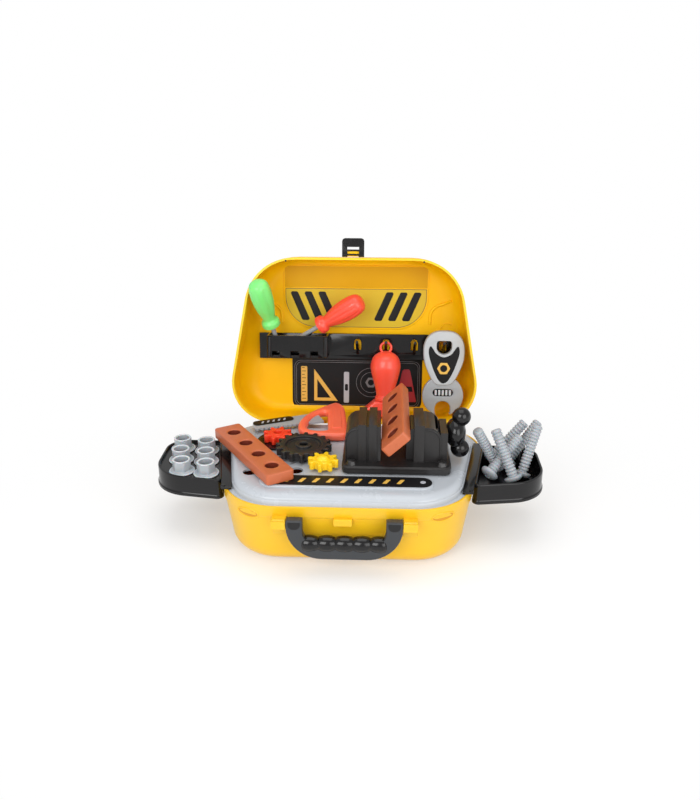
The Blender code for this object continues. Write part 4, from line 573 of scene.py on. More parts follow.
def make_lid():
    """Shell with knuckles, posts and a catch, its lip painted lighter as a highlight, and the
    ridges in its corners.
    """
    rings = [lid_ring(share * (LID_DEPTH - WALL), WALL) for share in reversed(RISES)]
    rings += [lid_ring(share * LID_DEPTH, 0) for share in RISES]
    shapes = [loft(rings)]
    for low, high in ((-76, -64), (64, 76)):
        shapes += [box((low, 0, 0), (high, 5, KNUCKLE)), box((low, 2.6, 1.2), (high, 5, 3.8)),
                   rod((low, 0, 0), (high, 0, 0), KNUCKLE)]
    for x in (-99.4, 0, 99.4):
        shapes.append(rod((x, 45.3, 82.5), (x, 51, 82.5), 3.5))
    catch = plate([slab(-7.8, -2.4, 5.85, 2.4, 1.0)], 6.4, 0.5)
    shapes.append(at(catch, shift(-0.75, 7.9, 184.2)))
    lid_piece("lid_shell_look", shapes, LID_LIT_YELLOW, ["lid_shell"])
    # the lip widens the rim, and its lighter yellow is painted highlight along the rim's edge
    lip = [lid_ring(rise, thick) for rise, thick in (
        (-0.12, 0.5), (-0.12, 2.2), (0.3, 2.4), (5.0, 2.4), (5.2, 2.2), (5.2, 1.5), (0.6, 1.2),
        (0.3, 0.5))]
    lid_piece("lid_lip_highlight", [loft(lip, hoop=True)], LIP_HIGHLIGHT_YELLOW)
    make_panel()
    upper = ((83, 108), (83.5, 118), (86, 124), (92, 128.5), (100, 131.5), (106, 135))
    lower = ((108, 108), (101, 109), (96, 105), (94.5, 98))
    for side, word in SIDES:
        ridges = [tube(smooth([on_floor(side, x, up) for x, up in upper]), 1.7),
                  tube(smooth([on_floor(side, x, up) for x, up in lower]), 0.8)]
        lid_piece(f"corner_ridge_{word}", ridges, LID_LIT_YELLOW)
    make_sticker()


def make_panel():
    """Pressed panel with its label and hazard bars, and two dots of painted shade on the rim above
    it.
    """
    panel = slab(-81, 101.2, 81, 172.4, [36, 36, 2, 2])
    lid_piece("lid_panel", [upright([panel], 1.4, 0.6, PANEL_DEPTH)], LID_LIT_YELLOW)
    # painted shade: the band at the panel's top is drawn darker where the top wall shades it
    band = slab(-79.5, 147.8, 79.5, 171.2, 0.5)
    lid_piece("panel_shade_band", [upright([band], 0.3, 0.1, LABEL_DEPTH)], PANEL_SHADE)
    label = slab(-79, 103.3, 79, 146.8, [34, 34, 1, 1])
    lid_piece("panel_label", [upright([label], 0.3, 0.1, LABEL_DEPTH)], LABEL_YELLOW)
    inner = slab(-78.2, 104.1, 78.2, 146, [33.2, 33.2, 0.8, 0.8])
    lid_piece("panel_label_line", [upright([label, inner], 0.4, 0.1, LABEL_DEPTH)], LABEL_LINE)
    bars = []
    for side in (-1, 1):
        for x in (71.5, 56, 40.5):
            bar = rounded([(side * (x + 2.4), 143.2), (side * (x - 6.2), 143.2),
                           (side * (x - 20.6), 111), (side * (x - 11.4), 111)],
                          [2, 2.2, 2, 2.2], 6)
            bars.append(upright([bar], 0.5, 0.1, LABEL_DEPTH))
    lid_piece("hazard_bars", bars, STICKER)
    # painted shade: two dark dots on the rim stand in for the shade in small holes there
    dots = [at(drum(ORIGIN, 1.0, 0, 0.6, 0.1, 20), shift(x, 2.6, 179.5) @ turn(90, "X"))
            for x in (-73, 73)]
    lid_piece("rim_shade_dots", dots, PAINTED_SHADE)


def make_sticker():
    """Sticker with a generic workshop print: rule, square, level, rings and cone."""
    sticker = slab(-72, 9, 76, 67, [9, 9, 0.6, 0.6])
    lid_piece("lid_sticker", [upright([sticker], 0.4, 0.15, STICKER_DEPTH)], STICKER)

    def printed(outlines, thick=0.3):
        return upright(outlines, thick, 0.0, PRINT_DEPTH)

    lines = []
    for left, low, right, high, radius in ((-67.5, 13.5, 71.5, 63, 6),
                                           (-69.5, 11.5, 73.5, 65, 7.5)):
        hole = slab(left + LINE, low + LINE, right - LINE, high - LINE, radius - LINE)
        lines.append(printed([slab(left, low, right, high, radius), hole], 0.25))
    centre = (18, 40)
    for radius in (17, 12):
        lines.append(printed([circle(centre, radius), circle(centre, radius - 0.45)], 0.25))
    lines.append(printed([circle(centre, 6.5, 6), circle(centre, 3.4)], 0.25))
    lid_piece("print_lines", lines, STICKER_LINE)
    rule = [slab(-62, 17, -55, 58, 1)]
    rule += [slab(-61, y, -58 if k % 2 else -56.5, y + 0.7)
             for k, y in enumerate(range(20, 57, 4))]
    square = [[(-47, 18), (-20, 18), (-47, 55)], [(-43.5, 21.5), (-28, 21.5), (-43.5, 43)]]
    lid_piece("print_yellow", [printed(rule), printed(square)], STICKER_YELLOW)
    level = [slab(-13, 16, -7, 52, 1.5), slab(-11.8, 30, -8.2, 38, 1.6)]
    lid_piece("print_grey", [printed(level)], STICKER_GREY)
    cone = [rounded([(46, 18), (70, 18), (62, 56), (54, 56)], [1, 1, 3, 3]),
            [(50.2, 30), (65.8, 30), (64.6, 36), (51.4, 36)]]
    lid_piece("print_red", [printed(cone)], STICKER_RED)


def make_latch():
    """The latch and the lid's two hinge pins."""
    dress("latch", BLACK, 0.5)
    for node in ("lid_hinge_pin_left", "lid_hinge_pin_right"):
        dress(node, YELLOW, 0.2)


# ---- handle and trays

GRIP_HALF, BULGE_PITCH = 39.5, 15.8
TRAY_FLOOR, SHELF_FLOOR = 50.3, 65.3
TRAY_CORNERS = ((0.3, -50.8), (70.5, -26.7), (55.7, 53.9), (0.3, 43.7))
TRAY_RADII = (6, 38, 22, 6)


def make_handle():
    """Carry handle: a flat band, its pins and a grip with finger bulges."""
    top, bottom, inner = 4.7, -33.7, 37.3
    outline = [(-52.3, top), (-52.3, bottom), (52.3, bottom), (52.3, top),
               (inner, top), (inner, bottom + 14.5), (-inner, bottom + 14.5), (-inner, top)]
    radii = [1.2, 32, 32, 1.2, 1.2, 13, 13, 1.2]
    matrix = shift(0, HANDLE_Y, HANDLE_Z)
    band = upright([rounded(outline, radii)], 9.5, 1.2, 4.75)
    pins = [rod((side * 46, 0, 0), (side * 58.2, 0, 0), 2.4) for side in (-1, 1)]
    piece("carry_handle_look", [band] + pins, SLATE, "handle", ["carry_handle"], matrix)
    profile = [(0, 40.2)]
    for step in range(101):
        along = GRIP_HALF - 2 * GRIP_HALF * step / 100
        bulge = 1.9 * abs(cos(pi * along / BULGE_PITCH)) ** 0.7
        end = min(1, (GRIP_HALF - abs(along)) / 2.5) ** 0.5
        profile.append(((5.7 + bulge) * max(end, 0.2), along))
    profile.append((0, -40.2))
    grip = at(spin(profile, 32), shift(0, 0, bottom + 14.2) @ turn(90, "Y"))
    piece("handle_grip", [grip], BLACK, "handle", place=matrix)
    # painted shade: thin dark plates at the tops of the band's arms stand in for the shade in
    # their recesses; the band is not cut
    recess = []
    for side in (-1, 1):
        left, right = side * 44.8 - 5.6, side * 44.8 + 5.6
        shape = rounded([(left, 4.0), (left, -3.4), (right, -3.4), (right, 4.0)],
                        [0.4, 5, 5, 0.4])
        recess.append(upright([shape], 0.5, 0.2, -4.55))
    piece("handle_painted_shade", recess, PAINTED_SHADE, "handle", place=matrix)


def beside(out, along):
    """A point beside the right side of the case, out from it and along it."""
    lean = (BACK - FRONT) / DEPTH
    return half_width(0) + (out + along * lean) / SLANT, (along - out * lean) / SLANT


def tray_ring(z, inset, side):
    """Outline of a tray at a height, moved in by the inset."""
    corners = [beside(*place) for place in TRAY_CORNERS]
    moved = [corner_of(corners, index, inset)[-1] for index in range(4)]
    outline = rounded(moved, [max(radius - inset, 1.5) for radius in TRAY_RADII])
    return [(side * point.x, point.y, z) for point in outline]


def make_tray(name, side, shelf):
    """A side tray with its strip over the case's rim; a shelf is closed high up."""
    rows = [(SHELF_FLOOR, 4.0) if shelf else (TRAY_FLOOR, 5.2)]
    rows += [(rows[0][0] + 0.4, 3.7), (67.6, 3.5), (68, 3.1), (68, 2.2), (67.7, 1.5),
             (67.0, 1.2), (52.4, 1.2), (51.2, 0.9), (50.5, 0.1), (48.4, 0.0), (48, 0.4)]
    if shelf:
        rows += [(48, 2.8), (62.5, 4.0)]
    shapes = [loft([tray_ring(z, inset, side) for z, inset in rows])]
    near, far = -60, 47
    strip = [(half_width(near) + 2.3, near), (half_width(far) + 2.3, far),
             (half_width(far) - 7.5, far), (half_width(near) - 7.5, near)]
    shapes.append(lying([[(side * x, y) for x, y in strip]], 2.7, 0.5, 64.8))
    for y in (-57.5, 44.5):
        shapes.append(drum((side * (half_width(y) + 0.6), y), 2.3, 64.9, 68.6, 0.6, 24))
    piece(name + "_look", shapes, BLACK, name, [name])


# ---- worktop and gears

BENCH_ROOT = 73.7          # just under the bench's face
LABEL_UP, PRINT_UP = 75.85, 76.1
MODULE, PRESSURE = 3.2, radians(20)
ROOT_DROP, TIP_RISE = 2.5, 2.0
GEAR_Z, GEAR_THICK, BORE = 77.3, 8, 4.3
GEAR_REACH = 38.6          # between the axes of the black gear and a small one
RED_AT, YELLOW_AT = radians(138.4), radians(-55.9)
BLACK_GEAR = Vector((-45, 0))
RED_GEAR = BLACK_GEAR + GEAR_REACH * Vector((cos(RED_AT), sin(RED_AT)))
YELLOW_GEAR = BLACK_GEAR + GEAR_REACH * Vector((cos(YELLOW_AT), sin(YELLOW_AT)))


def make_worktop():
    """Bench with its holes, gear pegs, label boss and label."""
    rings = [ring(*row) for row in (
        (72.3, 14.3, 15.7, 33), (68.6, 11.2, 11.2, 29.7), (66.4, 10.7, 10.7, 29.2),
        (66.4, 10.2, 10.2, 7.2), (62.3, 9.7, 9.7, 6.7), (62.3, 2.3, 2.3, 2.3),
        (64.0, 2.3, 2.3, 2.3), (64.3, 2.7, 7.5, 4.5), (66.5, 2.9, 7.6, 4.6),
        (68.1, 3.1, 7.8, 4.8), (68.6, 3.6, 8.2, 5.4), (68.8, 3.9, 8.5, 26.0))]
    for step in range(1, STEPS + 1):
        angle = pi / 2 * step / STEPS
        into = 1 - cos(angle)
        rings.append(ring(68.85 + 5.65 * sin(angle), 3.8 + 12 * into, 8.5 + 6 * into,
                          26 + 3 * into))
    shapes = [loft(rings), lying([slab(-80.5, -72, 80.5, -47, 12.2)], 2.3, 0.8, BENCH_ROOT)]
    shapes += [drum(place, 8, BENCH_ROOT, 77.0) for place in (BLACK_GEAR, YELLOW_GEAR)]
    shapes += [drum(place, 4, BENCH_ROOT, top, 0.8)
               for place, top in ((BLACK_GEAR, 86.3), (RED_GEAR, 86.3), (YELLOW_GEAR, 84.2))]
    bench = piece("worktop_look", shapes, GREY, "worktop", ["worktop"])
    for place in ((-92.5, -42), (-48.7, -37)):
        carve(bench, drum(place, 6.5, 60, 80))
    label = lying([slab(-77, -69.2, 79, -49.8, 9.6)], 0.4, 0.12, LABEL_UP)
    piece("bench_label", [label], STICKER, "worktop")
    dot = lying([circle((70.5, -59.5), 2.6)], 0.3, 0.1, PRINT_UP)
    piece("label_dot", [dot], STICKER_GREY, "worktop")
    bars = []
    for x in range(-58, 56, 13):
        bar = rounded([(x, -63.5), (x + 4, -63.5), (x + 8, -55.5), (x + 4, -55.5)], [0.5] * 4, 3)
        bars.append(lying([bar], 0.3, 0.1, PRINT_UP))
    piece("label_stripes", bars, STICKER_YELLOW, "worktop")
    dress("gear_seat", BLACK, 0.3)


def gear_outline(teeth, phase):
    """A spur gear's outline with rounded flanks."""
    pitch = MODULE * teeth / 2
    base, root, tip = pitch * cos(PRESSURE), pitch - ROOT_DROP, pitch + TIP_RISE
    half = 0.415 * pi / teeth + (tan(PRESSURE) - PRESSURE)
    radii = [root, root + 0.3] + [base + (tip - 0.25 - base) * k / 5 for k in range(6)] + [tip]
    points = []
    for tooth in range(teeth):
        centre = phase + tau * tooth / teeth
        flank = []
        for radius in radii:
            swing = acos(min(base / radius, 1))
            extra = 0.35 / radius if radius == root else 0.0
            less = 0.3 / radius if radius == tip else 0.0
            flank.append((radius, half - (tan(swing) - swing) + extra - less))
        points += [(r, centre - a) for r, a in flank]
        points += [(r, centre + a) for r, a in reversed(flank)]
    return [(r * cos(a), r * sin(a)) for r, a in points]


def small_gear(direction):
    """A gear of 8 teeth that meshes with the black one from this direction."""
    phase = direction + pi + pi / 8 + direction * 2
    return plate([gear_outline(8, phase), circle(ORIGIN, BORE)], GEAR_THICK, 0.6)


def make_gears():
    """The three gears: rim, web and hub of the black one, a ring or a knob on the others."""
    shapes = [plate([gear_outline(16, 0), circle(ORIGIN, 18)], GEAR_THICK, 0.35, 2),
              plate([circle(ORIGIN, 18.3), circle(ORIGIN, BORE)], 6, 0.0),
              plate([circle(ORIGIN, 8.2), circle(ORIGIN, BORE)], GEAR_THICK, 0.5),
              lying([circle(ORIGIN, 16.2), circle(ORIGIN, 15.0)], 0.8, 0.3, 5.8)]
    piece("gear_black_look", shapes, GEAR_BLACK, "gear_black", ["gear_black"],
          shift(*BLACK_GEAR, GEAR_Z))
    shapes = [small_gear(RED_AT),
              lying([circle(ORIGIN, 6.6), circle(ORIGIN, BORE)], 0.8, 0.3, 7.6)]
    piece("gear_red_look", shapes, GEAR_RED, "gear_red", ["gear_red"],
          shift(*RED_GEAR, GEAR_Z))
    knob = [(0, 10.9), (1.8, 10.8), (3.6, 10.3), (5.1, 9.4), (6.0, 8.6), (6.5, 7.4), (0, 7.4)]
    piece("gear_yellow_look", [small_gear(YELLOW_AT), spin(knob)], GEAR_YELLOW, "gear_yellow",
          ["gear_yellow"], shift(*YELLOW_GEAR, GEAR_Z))


# ---- planks and vise

PLANK_HALF, PLANK_END, PLANK_THICK = 14, 64, 10.5
PLANK_HOLES = [(0, 29.7 * (k - 1.5)) for k in range(4)]
FLAT_TURN = 32.8
FLAT_FAR, FLAT_RISE = 45, 1.5    # where the lying plank meets the bench, and its rise to the boss
HELD_LEAN = 43
SCREW = shift(96.2, -11, 105.5) @ turn(90, "Y")


def plank_mesh():
    outlines = [slab(-PLANK_HALF, -PLANK_END, PLANK_HALF, PLANK_END, 3)]
    outlines += [circle(hole, 6.5) for hole in PLANK_HOLES]
    return plate(outlines, PLANK_THICK, 1.3)


def make_planks():
    """One plank that lies with an end on the label boss, and one that the vise holds."""
    near = (-47 + 13) / cos(radians(FLAT_TURN)) - PLANK_HALF
    tilt = atan2(FLAT_RISE, FLAT_FAR - near)
    flat = (shift(-94.1, -13, 74.8 + FLAT_FAR * tan(tilt)) @ turn(FLAT_TURN, "Z")
            @ turn(-degrees(tilt), "X"))
    lean = radians(HELD_LEAN)
    span = PLANK_HALF * cos(lean) + PLANK_THICK / 2 * sin(lean)
    held = shift(31.3 + span, 14, 109) @ turn(-HELD_LEAN, "Y") @ shift(0, 0, -PLANK_THICK / 2)
    places = {"plank_flat": flat, "plank_clamped": held}
    for body, place in places.items():
        piece(body + "_look", [plank_mesh()], BROWN, body, [body], place)
    for body, place in places.items():
        dot = at(drum(ORIGIN, 1.1, -0.05, 0.25, 0.1, 20),
                 shift(0, -PLANK_END, PLANK_THICK / 2) @ turn(90, "X"))
        piece(body + "_dot", [dot], BROWN, body, place=place)
        # painted shade: thin tubes of darker brown line the holes, standing in for the shade
        # inside them
        linings = [lying([circle(hole, 6.6), circle(hole, 6.2)], 8.6, 0.0, 0.95)
                   for hole in PLANK_HOLES]
        piece(body + "_hole_shade_linings", linings, HOLE_SHADE_BROWN, body, place=place)


def make_vise():
    """Vise, its jaw, the ridges on its front and the screw with its ball ended bar."""
    dress("vise_base", SATIN_BLACK, 0.9)
    dress("vise_jaw", SATIN_BLACK, 0.5)
    left = [(-1.9, 84), (-1.9, 103.5), (0.4, 110.6), (5.0, 114.6), (9.2, 115.6)]
    right = [(86.9, 84), (86.9, 103.5), (84.6, 110.6), (80.0, 114.6), (73.5, 115.6)]
    ridges = [tube(smooth([(x, -30.2, z) for x, z in path]), 0.8) for path in (left, right)]
    piece("vise_ridges", ridges, SATIN_BLACK, "worktop")
    lens = [(14.5 * sin(a), 6 + 10 * cos(a)) for a in (pi * step / 24 for step in range(25))]
    collar = [(3.6, 0), (5.2, 0), (5.2, 2.0), (3.6, 2.0), (3.6, 0)]
    shapes = [spin(lens), rod((0, 0, -31.5), (0, 0, 4), 3.5),
              rod((-16.5, 0, 11), (16.5, 0, 11), 4), ball((-16.5, 0, 11), 9),
              ball((16.5, 0, 11), 9), at(spin(collar, 32), shift(0, 0, -5.2))]
    piece("vise_handle_look", shapes, BLACK, "vise_handle", ["vise_handle"], SCREW)


# ---- nuts and bolts

NUT_Z = 65.6
RIB_PITCH = 3.3
# out from the side of the case and along it; the bolts also have a height at each end
NUTS = ((40.0, -18.6), (16.6, -26.9), (41.6, 6.1), (17.0, -1.5), (40.9, 31.9), (16.8, 23.4))
BOLTS = (
    ((19.7, 14.3, 60.0), (-1.6, 0.2, 103.0)),
    ((13.6, -8.7, 62.5), (38.7, 25.6, 88.9)),
    ((12.1, 31.1, 59.8), (42.7, 44.6, 96.4)),
    ((36.9, -8.9, 60.3), (15.8, 4.0, 103.8)),
    ((44.2, 11.7, 55.7), (56.0, 29.3, 101.0)),
    ((29.8, 32.3, 58.8), (56.2, 58.1, 92.4)),
)


def make_nuts():
    flange = [(6.8, 0), (11.6, 0), (12, 0.5), (11.8, 1.1), (9.6, 1.8), (8.7, 2.8), (6.8, 2.8),
              (6.8, 0)]
    lip = [(6.7, 11.8), (8.4, 11.8), (8.7, 12.3), (8.3, 12.9), (7.2, 12.9), (6.7, 12.5),
           (6.7, 11.8)]
    edge = [(11.2, 0.1), (12.1, 0.1), (12.4, 0.6), (12.0, 1.25), (11.2, 1.35), (11.2, 0.1)]
    for number, place in enumerate(NUTS, 1):
        x, y = beside(*place)
        body = plate([rounded(circle(ORIGIN, 9.3, 6), [2.4] * 6, 5), circle(ORIGIN, 6.8)],
                     12.7, 0.3)
        place = shift(-x, y, NUT_Z)
        piece(f"nut_{number}_look", [spin(flange), body], FASTENER, "tray_left",
              [f"nut_{number}"], place)
        # painted highlight: lighter rings on the top lip and on the flange's edge stand in for
        # light on those edges
        piece(f"nut_{number}_highlight_rims", [spin(lip), spin(edge)], FASTENER_HIGHLIGHT_GREY, "tray_left",
              place=place)


def make_bolts():
    profile = [(0, 50), (3.9, 50), (4.5, 49.6)]
    for step in range(160):
        z = 49.2 - 46.7 * step / 159
        profile.append((4.0 + 1.2 * abs(sin(pi * z / RIB_PITCH)) ** 0.7, z))
    profile += [(4.7, 1.9), (8.2, 1.6), (8.9, 1.1), (9.0, 0.3), (8.7, -0.9), (7.6, -2.2),
                (6.0, -3.1), (4.0, -3.6), (3.1, -3.75), (2.9, -3.5), (2.9, -1.4), (0, -1.4)]
    for number, ends in enumerate(BOLTS, 1):
        foot, tip = (Vector((*beside(out, along), z)) for out, along, z in ends)
        lean = (tip - foot).to_track_quat("Z", "Y").to_matrix().to_4x4()
        piece(f"bolt_{number}_look", [spin(profile, 36)], FASTENER, "tray_right",
              [f"bolt_{number}"], Matrix.Translation(foot) @ lean)


# ---- tools in the lid

PEG_UP, PEG_ROOT, PEG_SLOPE = 75, 43.5, radians(30)
HAMMER_DEPTH, WRENCH_DEPTH = 23.8, 15
DRIVER_RADIUS, SHANK, DRIVER_LENGTH = 10.4, 38, 58.5
# radius and length of a screwdriver's handle, as shares
DRIVER_PROFILE = (
    (0.55, 0.0), (0.93, 0.015), (0.97, 0.06), (0.93, 0.11), (0.68, 0.17), (0.74, 0.24),
    (0.99, 0.40), (1.14, 0.58), (1.16, 0.75), (1.04, 0.90), (0.68, 0.978), (0.0, 1.0))
HAMMER_RADIUS, HAMMER_LENGTH = 16.5, 95
# the same of the hammer's handle
HAMMER_PROFILE = (
    (0.0, 0.853), (0.20, 0.850), (0.55, 0.825), (0.86, 0.775), (1.0, 0.690), (0.97, 0.620),
    (0.84, 0.520), (0.68, 0.420), (0.61, 0.345), (0.62, 0.320), (0.68, 0.310), (0.68, 0.277),
    (0.60, 0.273))
LOOP_RADIUS, LOOP_WIRE = 5.8, 1.4
JAW_RADIUS, JAW_UP, MOUTH = 22.6, 33, 8.5


def on_peg(depth, above):
    """Height over a sloping peg's axis at this depth, with the distance square to the axis."""
    return PEG_UP + (PEG_ROOT - depth) * tan(PEG_SLOPE) + above / cos(PEG_SLOPE)


def make_rack():
    """Tool rack with the rounded posts of its holder."""
    dress("tool_rack", BLACK, 0.5)
    posts = [rod((x, 21.8, 72.9), (x, 21.8, 96.6), 2.4, 0.9, 24) for x in (-94.4, -32.1)]
    lid_piece("rack_posts", posts, BLACK)


def make_screwdriver(word, tip, lean, material, flutes, flute_depth):
    """A fluted handle and its shaft, standing in the holder with its tip at this place."""
    along = Vector(lean).normalized()
    depth = 42 - 0.3 - 2.5 * sqrt(1 - along.y ** 2)
    aim = along.to_track_quat("Z", "Y").to_matrix().to_4x4()
    place = LID @ shift(tip[0], depth, tip[1]) @ aim
    shape = smooth([(DRIVER_RADIUS * r, SHANK + DRIVER_LENGTH * s) for r, s in DRIVER_PROFILE])

    def wave(angle, z):
        share = (z - SHANK) / DRIVER_LENGTH
        amount = max(0.0, min((share - 0.2) / 0.15, 1.0, (0.97 - share) / 0.12))
        return 1 - flute_depth * amount * (0.5 - 0.5 * cos(flutes * angle)) ** 2

    body = "screwdriver_" + word
    handle = spin([(0, SHANK)] + [(max(r, 0), z) for r, z in shape], 72, wave)
    piece(body + "_handle_look", [handle], material, body,
          [body + "_handle"], place)
    shaft = spin([(0, 0), (1.9, 0), (2.4, 0.8), (2.5, 3), (2.5, 49.5), (0, 49.5)], 28)
    piece(body + "_shaft_look", [shaft], TOOL_GREY, body, [body + "_shaft"], place)


def make_hammer():
    """Hammer that hangs by the loop of its handle."""
    place = LID @ shift(34.4, HAMMER_DEPTH, 0)
    shape = smooth([(HAMMER_RADIUS * r, HAMMER_LENGTH * up) for r, up in HAMMER_PROFILE], 5)
    socket = [(6, 25.93), (6, 13), (0, 13)]
    ring_up = on_peg(HAMMER_DEPTH, 1.75 + 0.3 + LOOP_WIRE) - LOOP_RADIUS
    loop = [(LOOP_RADIUS * cos(a), 0, ring_up + LOOP_RADIUS * sin(a))
            for a in (tau * k / 40 for k in range(40))]
    shapes = [spin([(max(r, 0), z) for r, z in shape] + socket),
              tube(loop, LOOP_WIRE, True, 4)]
    piece("hammer_handle_look", shapes, RED, "hammer", ["hammer_handle"], place)
    low, top, half = 7.6, 25.6, 23.5
    face = low + (top - low) * 0.45
    outline = [(-half, low), (half, low), (half, face), (half / 2, top), (-half / 2, top),
               (-half, face)]
    head = upright([rounded(outline, [4] * 6, 8)], 20, 2.6, 10, 4)
    piece("hammer_head_look", [head], RED, "hammer", ["hammer_head"], place)


def make_wrench():
    """Wrench with an egg shaped head, a label in a raised rim and a ribbed thumb wheel."""
    place = LID @ shift(97.8, WRENCH_DEPTH, 0)
    hole_up = on_peg(WRENCH_DEPTH, 2.05) - 7

    def added(name, meshes, material):
        piece(name, meshes, material, "wrench", place=place)

    def front(outlines, thick, out, edge=0.0):
        """A plate on the wrench's front face, standing out from it."""
        return upright(outlines, thick, edge, thick - out)

    def egg(inset):
        """Outline of the head, moved in."""
        whole = mirrored([(6.5, 45.3), (12, 50), (15.5, 56), (19, 64), (21.8, 73), (22.6, 82),
                          (21.9, 90), (18.4, 98), (12, 103.2), (5, 105)])
        return smooth([(x * (1 - inset / 22.6), 75 + (up - 75) * (1 - inset / 30))
                       for x, up in whole], 5, True)

    def eye(grown, radii):
        """The D-shaped hole for the peg, or a larger D round it."""
        return slab(-8.1 - grown, hole_up - 7.2 - grown, 8.1 + grown, hole_up + 7.2 + grown, radii)

    jaw = []
    start = asin(MOUTH / JAW_RADIUS)
    for step in range(61):
        angle = -pi / 2 + start + (tau - 2 * start) * step / 60
        jaw.append((JAW_RADIUS * cos(angle), JAW_UP + JAW_RADIUS * sin(angle)))
    jaw += [tuple(p) for p in rounded([(-MOUTH, 12), (-MOUTH, 27), (MOUTH, 27), (MOUTH, 12)],
                                      [0, 8, 8, 0])]
    window = slab(-11.2, 32.6, 11.2, 40.6, 3.9)
    shapes = [upright([egg(0), eye(0, [8, 8, 3, 3])], 8, 1.4, 8),
              upright([jaw, window], 7.0, 1.2, 7.8)]
    piece("wrench_look", shapes, TOOL_GREY, "wrench", ["wrench"], place)
    side = [(4.8, 50.2), (8.8, 57), (11.7, 63.8), (14.1, 70.7), (16.1, 77.5), (16.8, 83),
            (15.9, 87.4), (14.2, 88.1), (11.9, 85.2), (7.7, 79.6)]
    shield = smooth([(0, 47.4)] + side + [(0, 76.4)] + [(-x, up) for x, up in reversed(side)],
                    5, True)
    # the raised rim is in a lighter grey: painted highlight
    rim = front([egg(0.9), shield, eye(0.4, [8.4, 8.4, 3.4, 3.4])], 1.2, 0.5, 0.3)
    added("wrench_rim_highlight", [rim], TOOL_RIM_HIGHLIGHT)
    added("wrench_label", [front([shield], 0.4, 0.25)], STICKER)
    emblem = [rounded(circle((0, 64), 7.2, 6), [1] * 6, 3), circle((0, 64), 3.9)]
    added("wrench_emblem", [front(emblem, 0.5, 0.45, 0.1)], STICKER_YELLOW)
    core = upright([slab(-11.4, 32.4, 11.4, 40.8, 3.9)], 4.4, 0.0, 6.6)
    added("wrench_wheel_core", [core], BLACK)
    # the ribs take the fastener's highlight grey as their colour
    ribs = [rod((x, y, 33.6), (x, y, 39.6), 1.25, 0.4, 16)
            for x in (-7.8, -3.9, 0, 3.9, 7.8) for y in (2.1, 6.7)]
    added("wrench_wheel_ribs", ribs, FASTENER_HIGHLIGHT_GREY)


# ---- saw

SAW_LABEL = shift(-83.5, 64.5, 80.65) @ turn(24.5, "Z")


def make_saw():
    """Saw that lies on the bench: a D handle with a ridge, a blade and its label."""
    outline = smooth([
        (-40, 28.6), (-30, 27.4), (-16, 27.2), (-6.5, 28), (-3.2, 32.5), (-4.0, 45), (-6.4, 70),
        (-8.8, 94), (-11, 104), (-15, 111), (-21, 113.5), (-28, 108), (-39, 95.5), (-48.5, 82),
        (-54, 68), (-56, 54), (-54, 42), (-48.5, 33.5)], 5, True)
    opening = smooth([
        (-40, 39), (-32, 38), (-25.5, 39.5), (-24.2, 45), (-25.8, 65), (-27.5, 84), (-31, 88.5),
        (-36.5, 84), (-42.5, 74.5), (-45.8, 62), (-46.2, 50), (-44.2, 42.5)], 5, True)
    handle = lying([outline, opening], 9, 4.0, 74.8, 6)
    piece("saw_handle_look", [handle], SAW_RED, "saw", ["saw_handle"])
    ridge = rounded([(-19.5, 42), (-9.5, 43), (-13.8, 94), (-21.5, 93)], [1.5] * 4, 4)
    piece("saw_grip_ridge", [lying([ridge], 1.2, 0.5, 83.3)], SAW_RED, "saw")
    dress("saw_blade", TOOL_GREY, 0.15)
    label = plate([slab(-22, -6, 22, 6, 5)], 0.35, 0.1)
    piece("saw_label", [label], STICKER, "saw", place=SAW_LABEL)
    marks = []
    for x in range(-14, 12, 6):
        mark = rounded([(x, -2.2), (x + 2.4, -2.2), (x + 4.6, 2.2), (x + 2.2, 2.2)], [0.3] * 4, 3)
        marks.append(lying([mark], 0.3, 0.05, 0.2))
    piece("saw_label_marks", marks, STICKER_GREY, "saw", place=SAW_LABEL)


# ---- studio, in metres

FADE_START, FADE_END, FADE_LEAST = 0.14, 0.42, 0.35
SKY = 0.6
LAMPS = (("key", (-0.5, -1.05, 0.7), 0.7, 7.4),      # name, place, size and watts
         ("fill", (0.7, -0.95, 0.5), 0.8, 5.6),
         ("top", (0.0, 0.0, 1.2), 0.9, 4.0))
SENSOR, FOCAL = 36, 37.64                            # these two in millimetres
TARGET, DISTANCE = Vector((0.0007, 0, 0.1325)), 0.8048
AZIMUTH, ELEVATION = radians(2.57), radians(22.18)
WHITE = (1, 1, 1, 1)


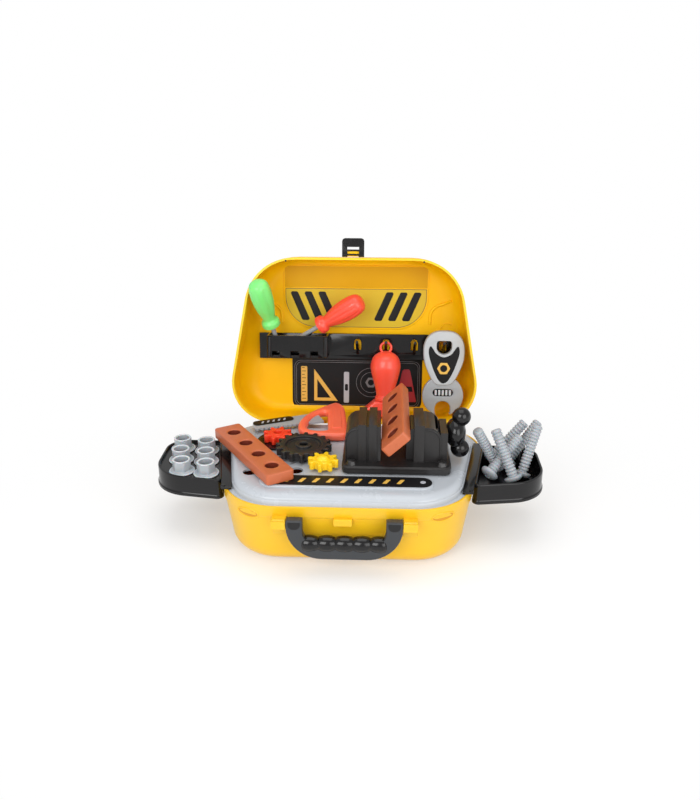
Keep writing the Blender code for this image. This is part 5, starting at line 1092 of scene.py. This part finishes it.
def make_floor():
    """Pale floor that fades into white, which only the camera and reflections see."""
    build = bmesh.new()
    bmesh.ops.create_grid(build, x_segments=1, y_segments=1, size=6)
    floor = new_object("floor", mesh_of(build))
    floor.location.z = -0.0002
    made = bpy.data.materials.new("floor_white")
    nodes, links = tree_of(made)
    nodes.clear()
    out = add(nodes, "OutputMaterial")
    matt = add(nodes, "BsdfDiffuse", {"Color": (0.93, 0.93, 0.93, 1)})
    glow = add(nodes, "Emission", {"Color": WHITE})
    mix = add(nodes, "MixShader")
    place = add(nodes, "TexCoord")
    far = add(nodes, "VectorMath", operation="LENGTH")
    fade = add(nodes, "MapRange", {"From Min": FADE_START, "From Max": FADE_END,
                                   "To Min": FADE_LEAST}, interpolation_type="SMOOTHSTEP")
    path = add(nodes, "LightPath")
    seen = add(nodes, "Math", operation="MAXIMUM")
    both = add(nodes, "Math", operation="MULTIPLY")
    wire(links,
         (place, "Object", far, 0), (far, "Value", fade, "Value"),
         (path, "Is Camera Ray", seen, 0), (path, "Is Glossy Ray", seen, 1),
         (fade, "Result", both, 0), (seen, "Value", both, 1), (both, "Value", mix, "Fac"),
         (matt, "BSDF", mix, 1), (glow, "Emission", mix, 2), (mix, "Shader", out, "Surface"))
    floor.data.materials.append(made)


def make_sky():
    """A white backdrop for the camera and a softer white light for the rest."""
    world = bpy.data.worlds.new("studio")
    bpy.context.scene.world = world
    nodes, links = tree_of(world)
    nodes.clear()
    out = add(nodes, "OutputWorld")
    light = add(nodes, "Background", {"Color": WHITE, "Strength": SKY})
    white = add(nodes, "Background", {"Color": WHITE})
    path = add(nodes, "LightPath")
    mix = add(nodes, "MixShader")
    wire(links, (path, "Is Camera Ray", mix, "Fac"), (light, "Background", mix, 1),
         (white, "Background", mix, 2), (mix, "Shader", out, "Surface"))


def make_lamps():
    for name, place, size, energy in LAMPS:
        lamp = bpy.data.lights.new(name, "AREA")
        lamp.size = size
        lamp.energy = energy
        holder = new_object(name, lamp)
        holder.location = place
        aim = Vector((0, 0, 0.1)) - Vector(place)
        holder.rotation_euler = aim.to_track_quat("-Z", "Y").to_euler()


def make_camera():
    camera = bpy.data.cameras.new("camera")
    camera.sensor_width = SENSOR
    camera.lens = FOCAL
    holder = new_object("camera", camera)
    back = Vector((sin(AZIMUTH) * cos(ELEVATION),
                   -cos(AZIMUTH) * cos(ELEVATION), sin(ELEVATION)))
    holder.location = TARGET + back * DISTANCE
    holder.rotation_mode = "QUATERNION"
    holder.rotation_quaternion = (-back).to_track_quat("-Z", "Y")
    bpy.context.scene.camera = holder
    bpy.context.scene.view_settings.view_transform = "Standard"


make_floor()
make_sky()
make_lamps()
make_camera()
make_base()
make_lid()
make_latch()
make_handle()
make_tray("tray_left", -1, True)
make_tray("tray_right", 1, False)
make_worktop()
make_gears()
make_planks()
make_vise()
make_nuts()
make_bolts()
make_rack()
make_screwdriver("green", (-83.5, 75.8), (-0.200, -0.485, 0.851), GREEN, 6, 0.07)
make_screwdriver("red", (-70.0, 87.8), (0.809, -0.285, 0.513), RED, 10, 0.05)
make_hammer()
make_wrench()
make_saw()
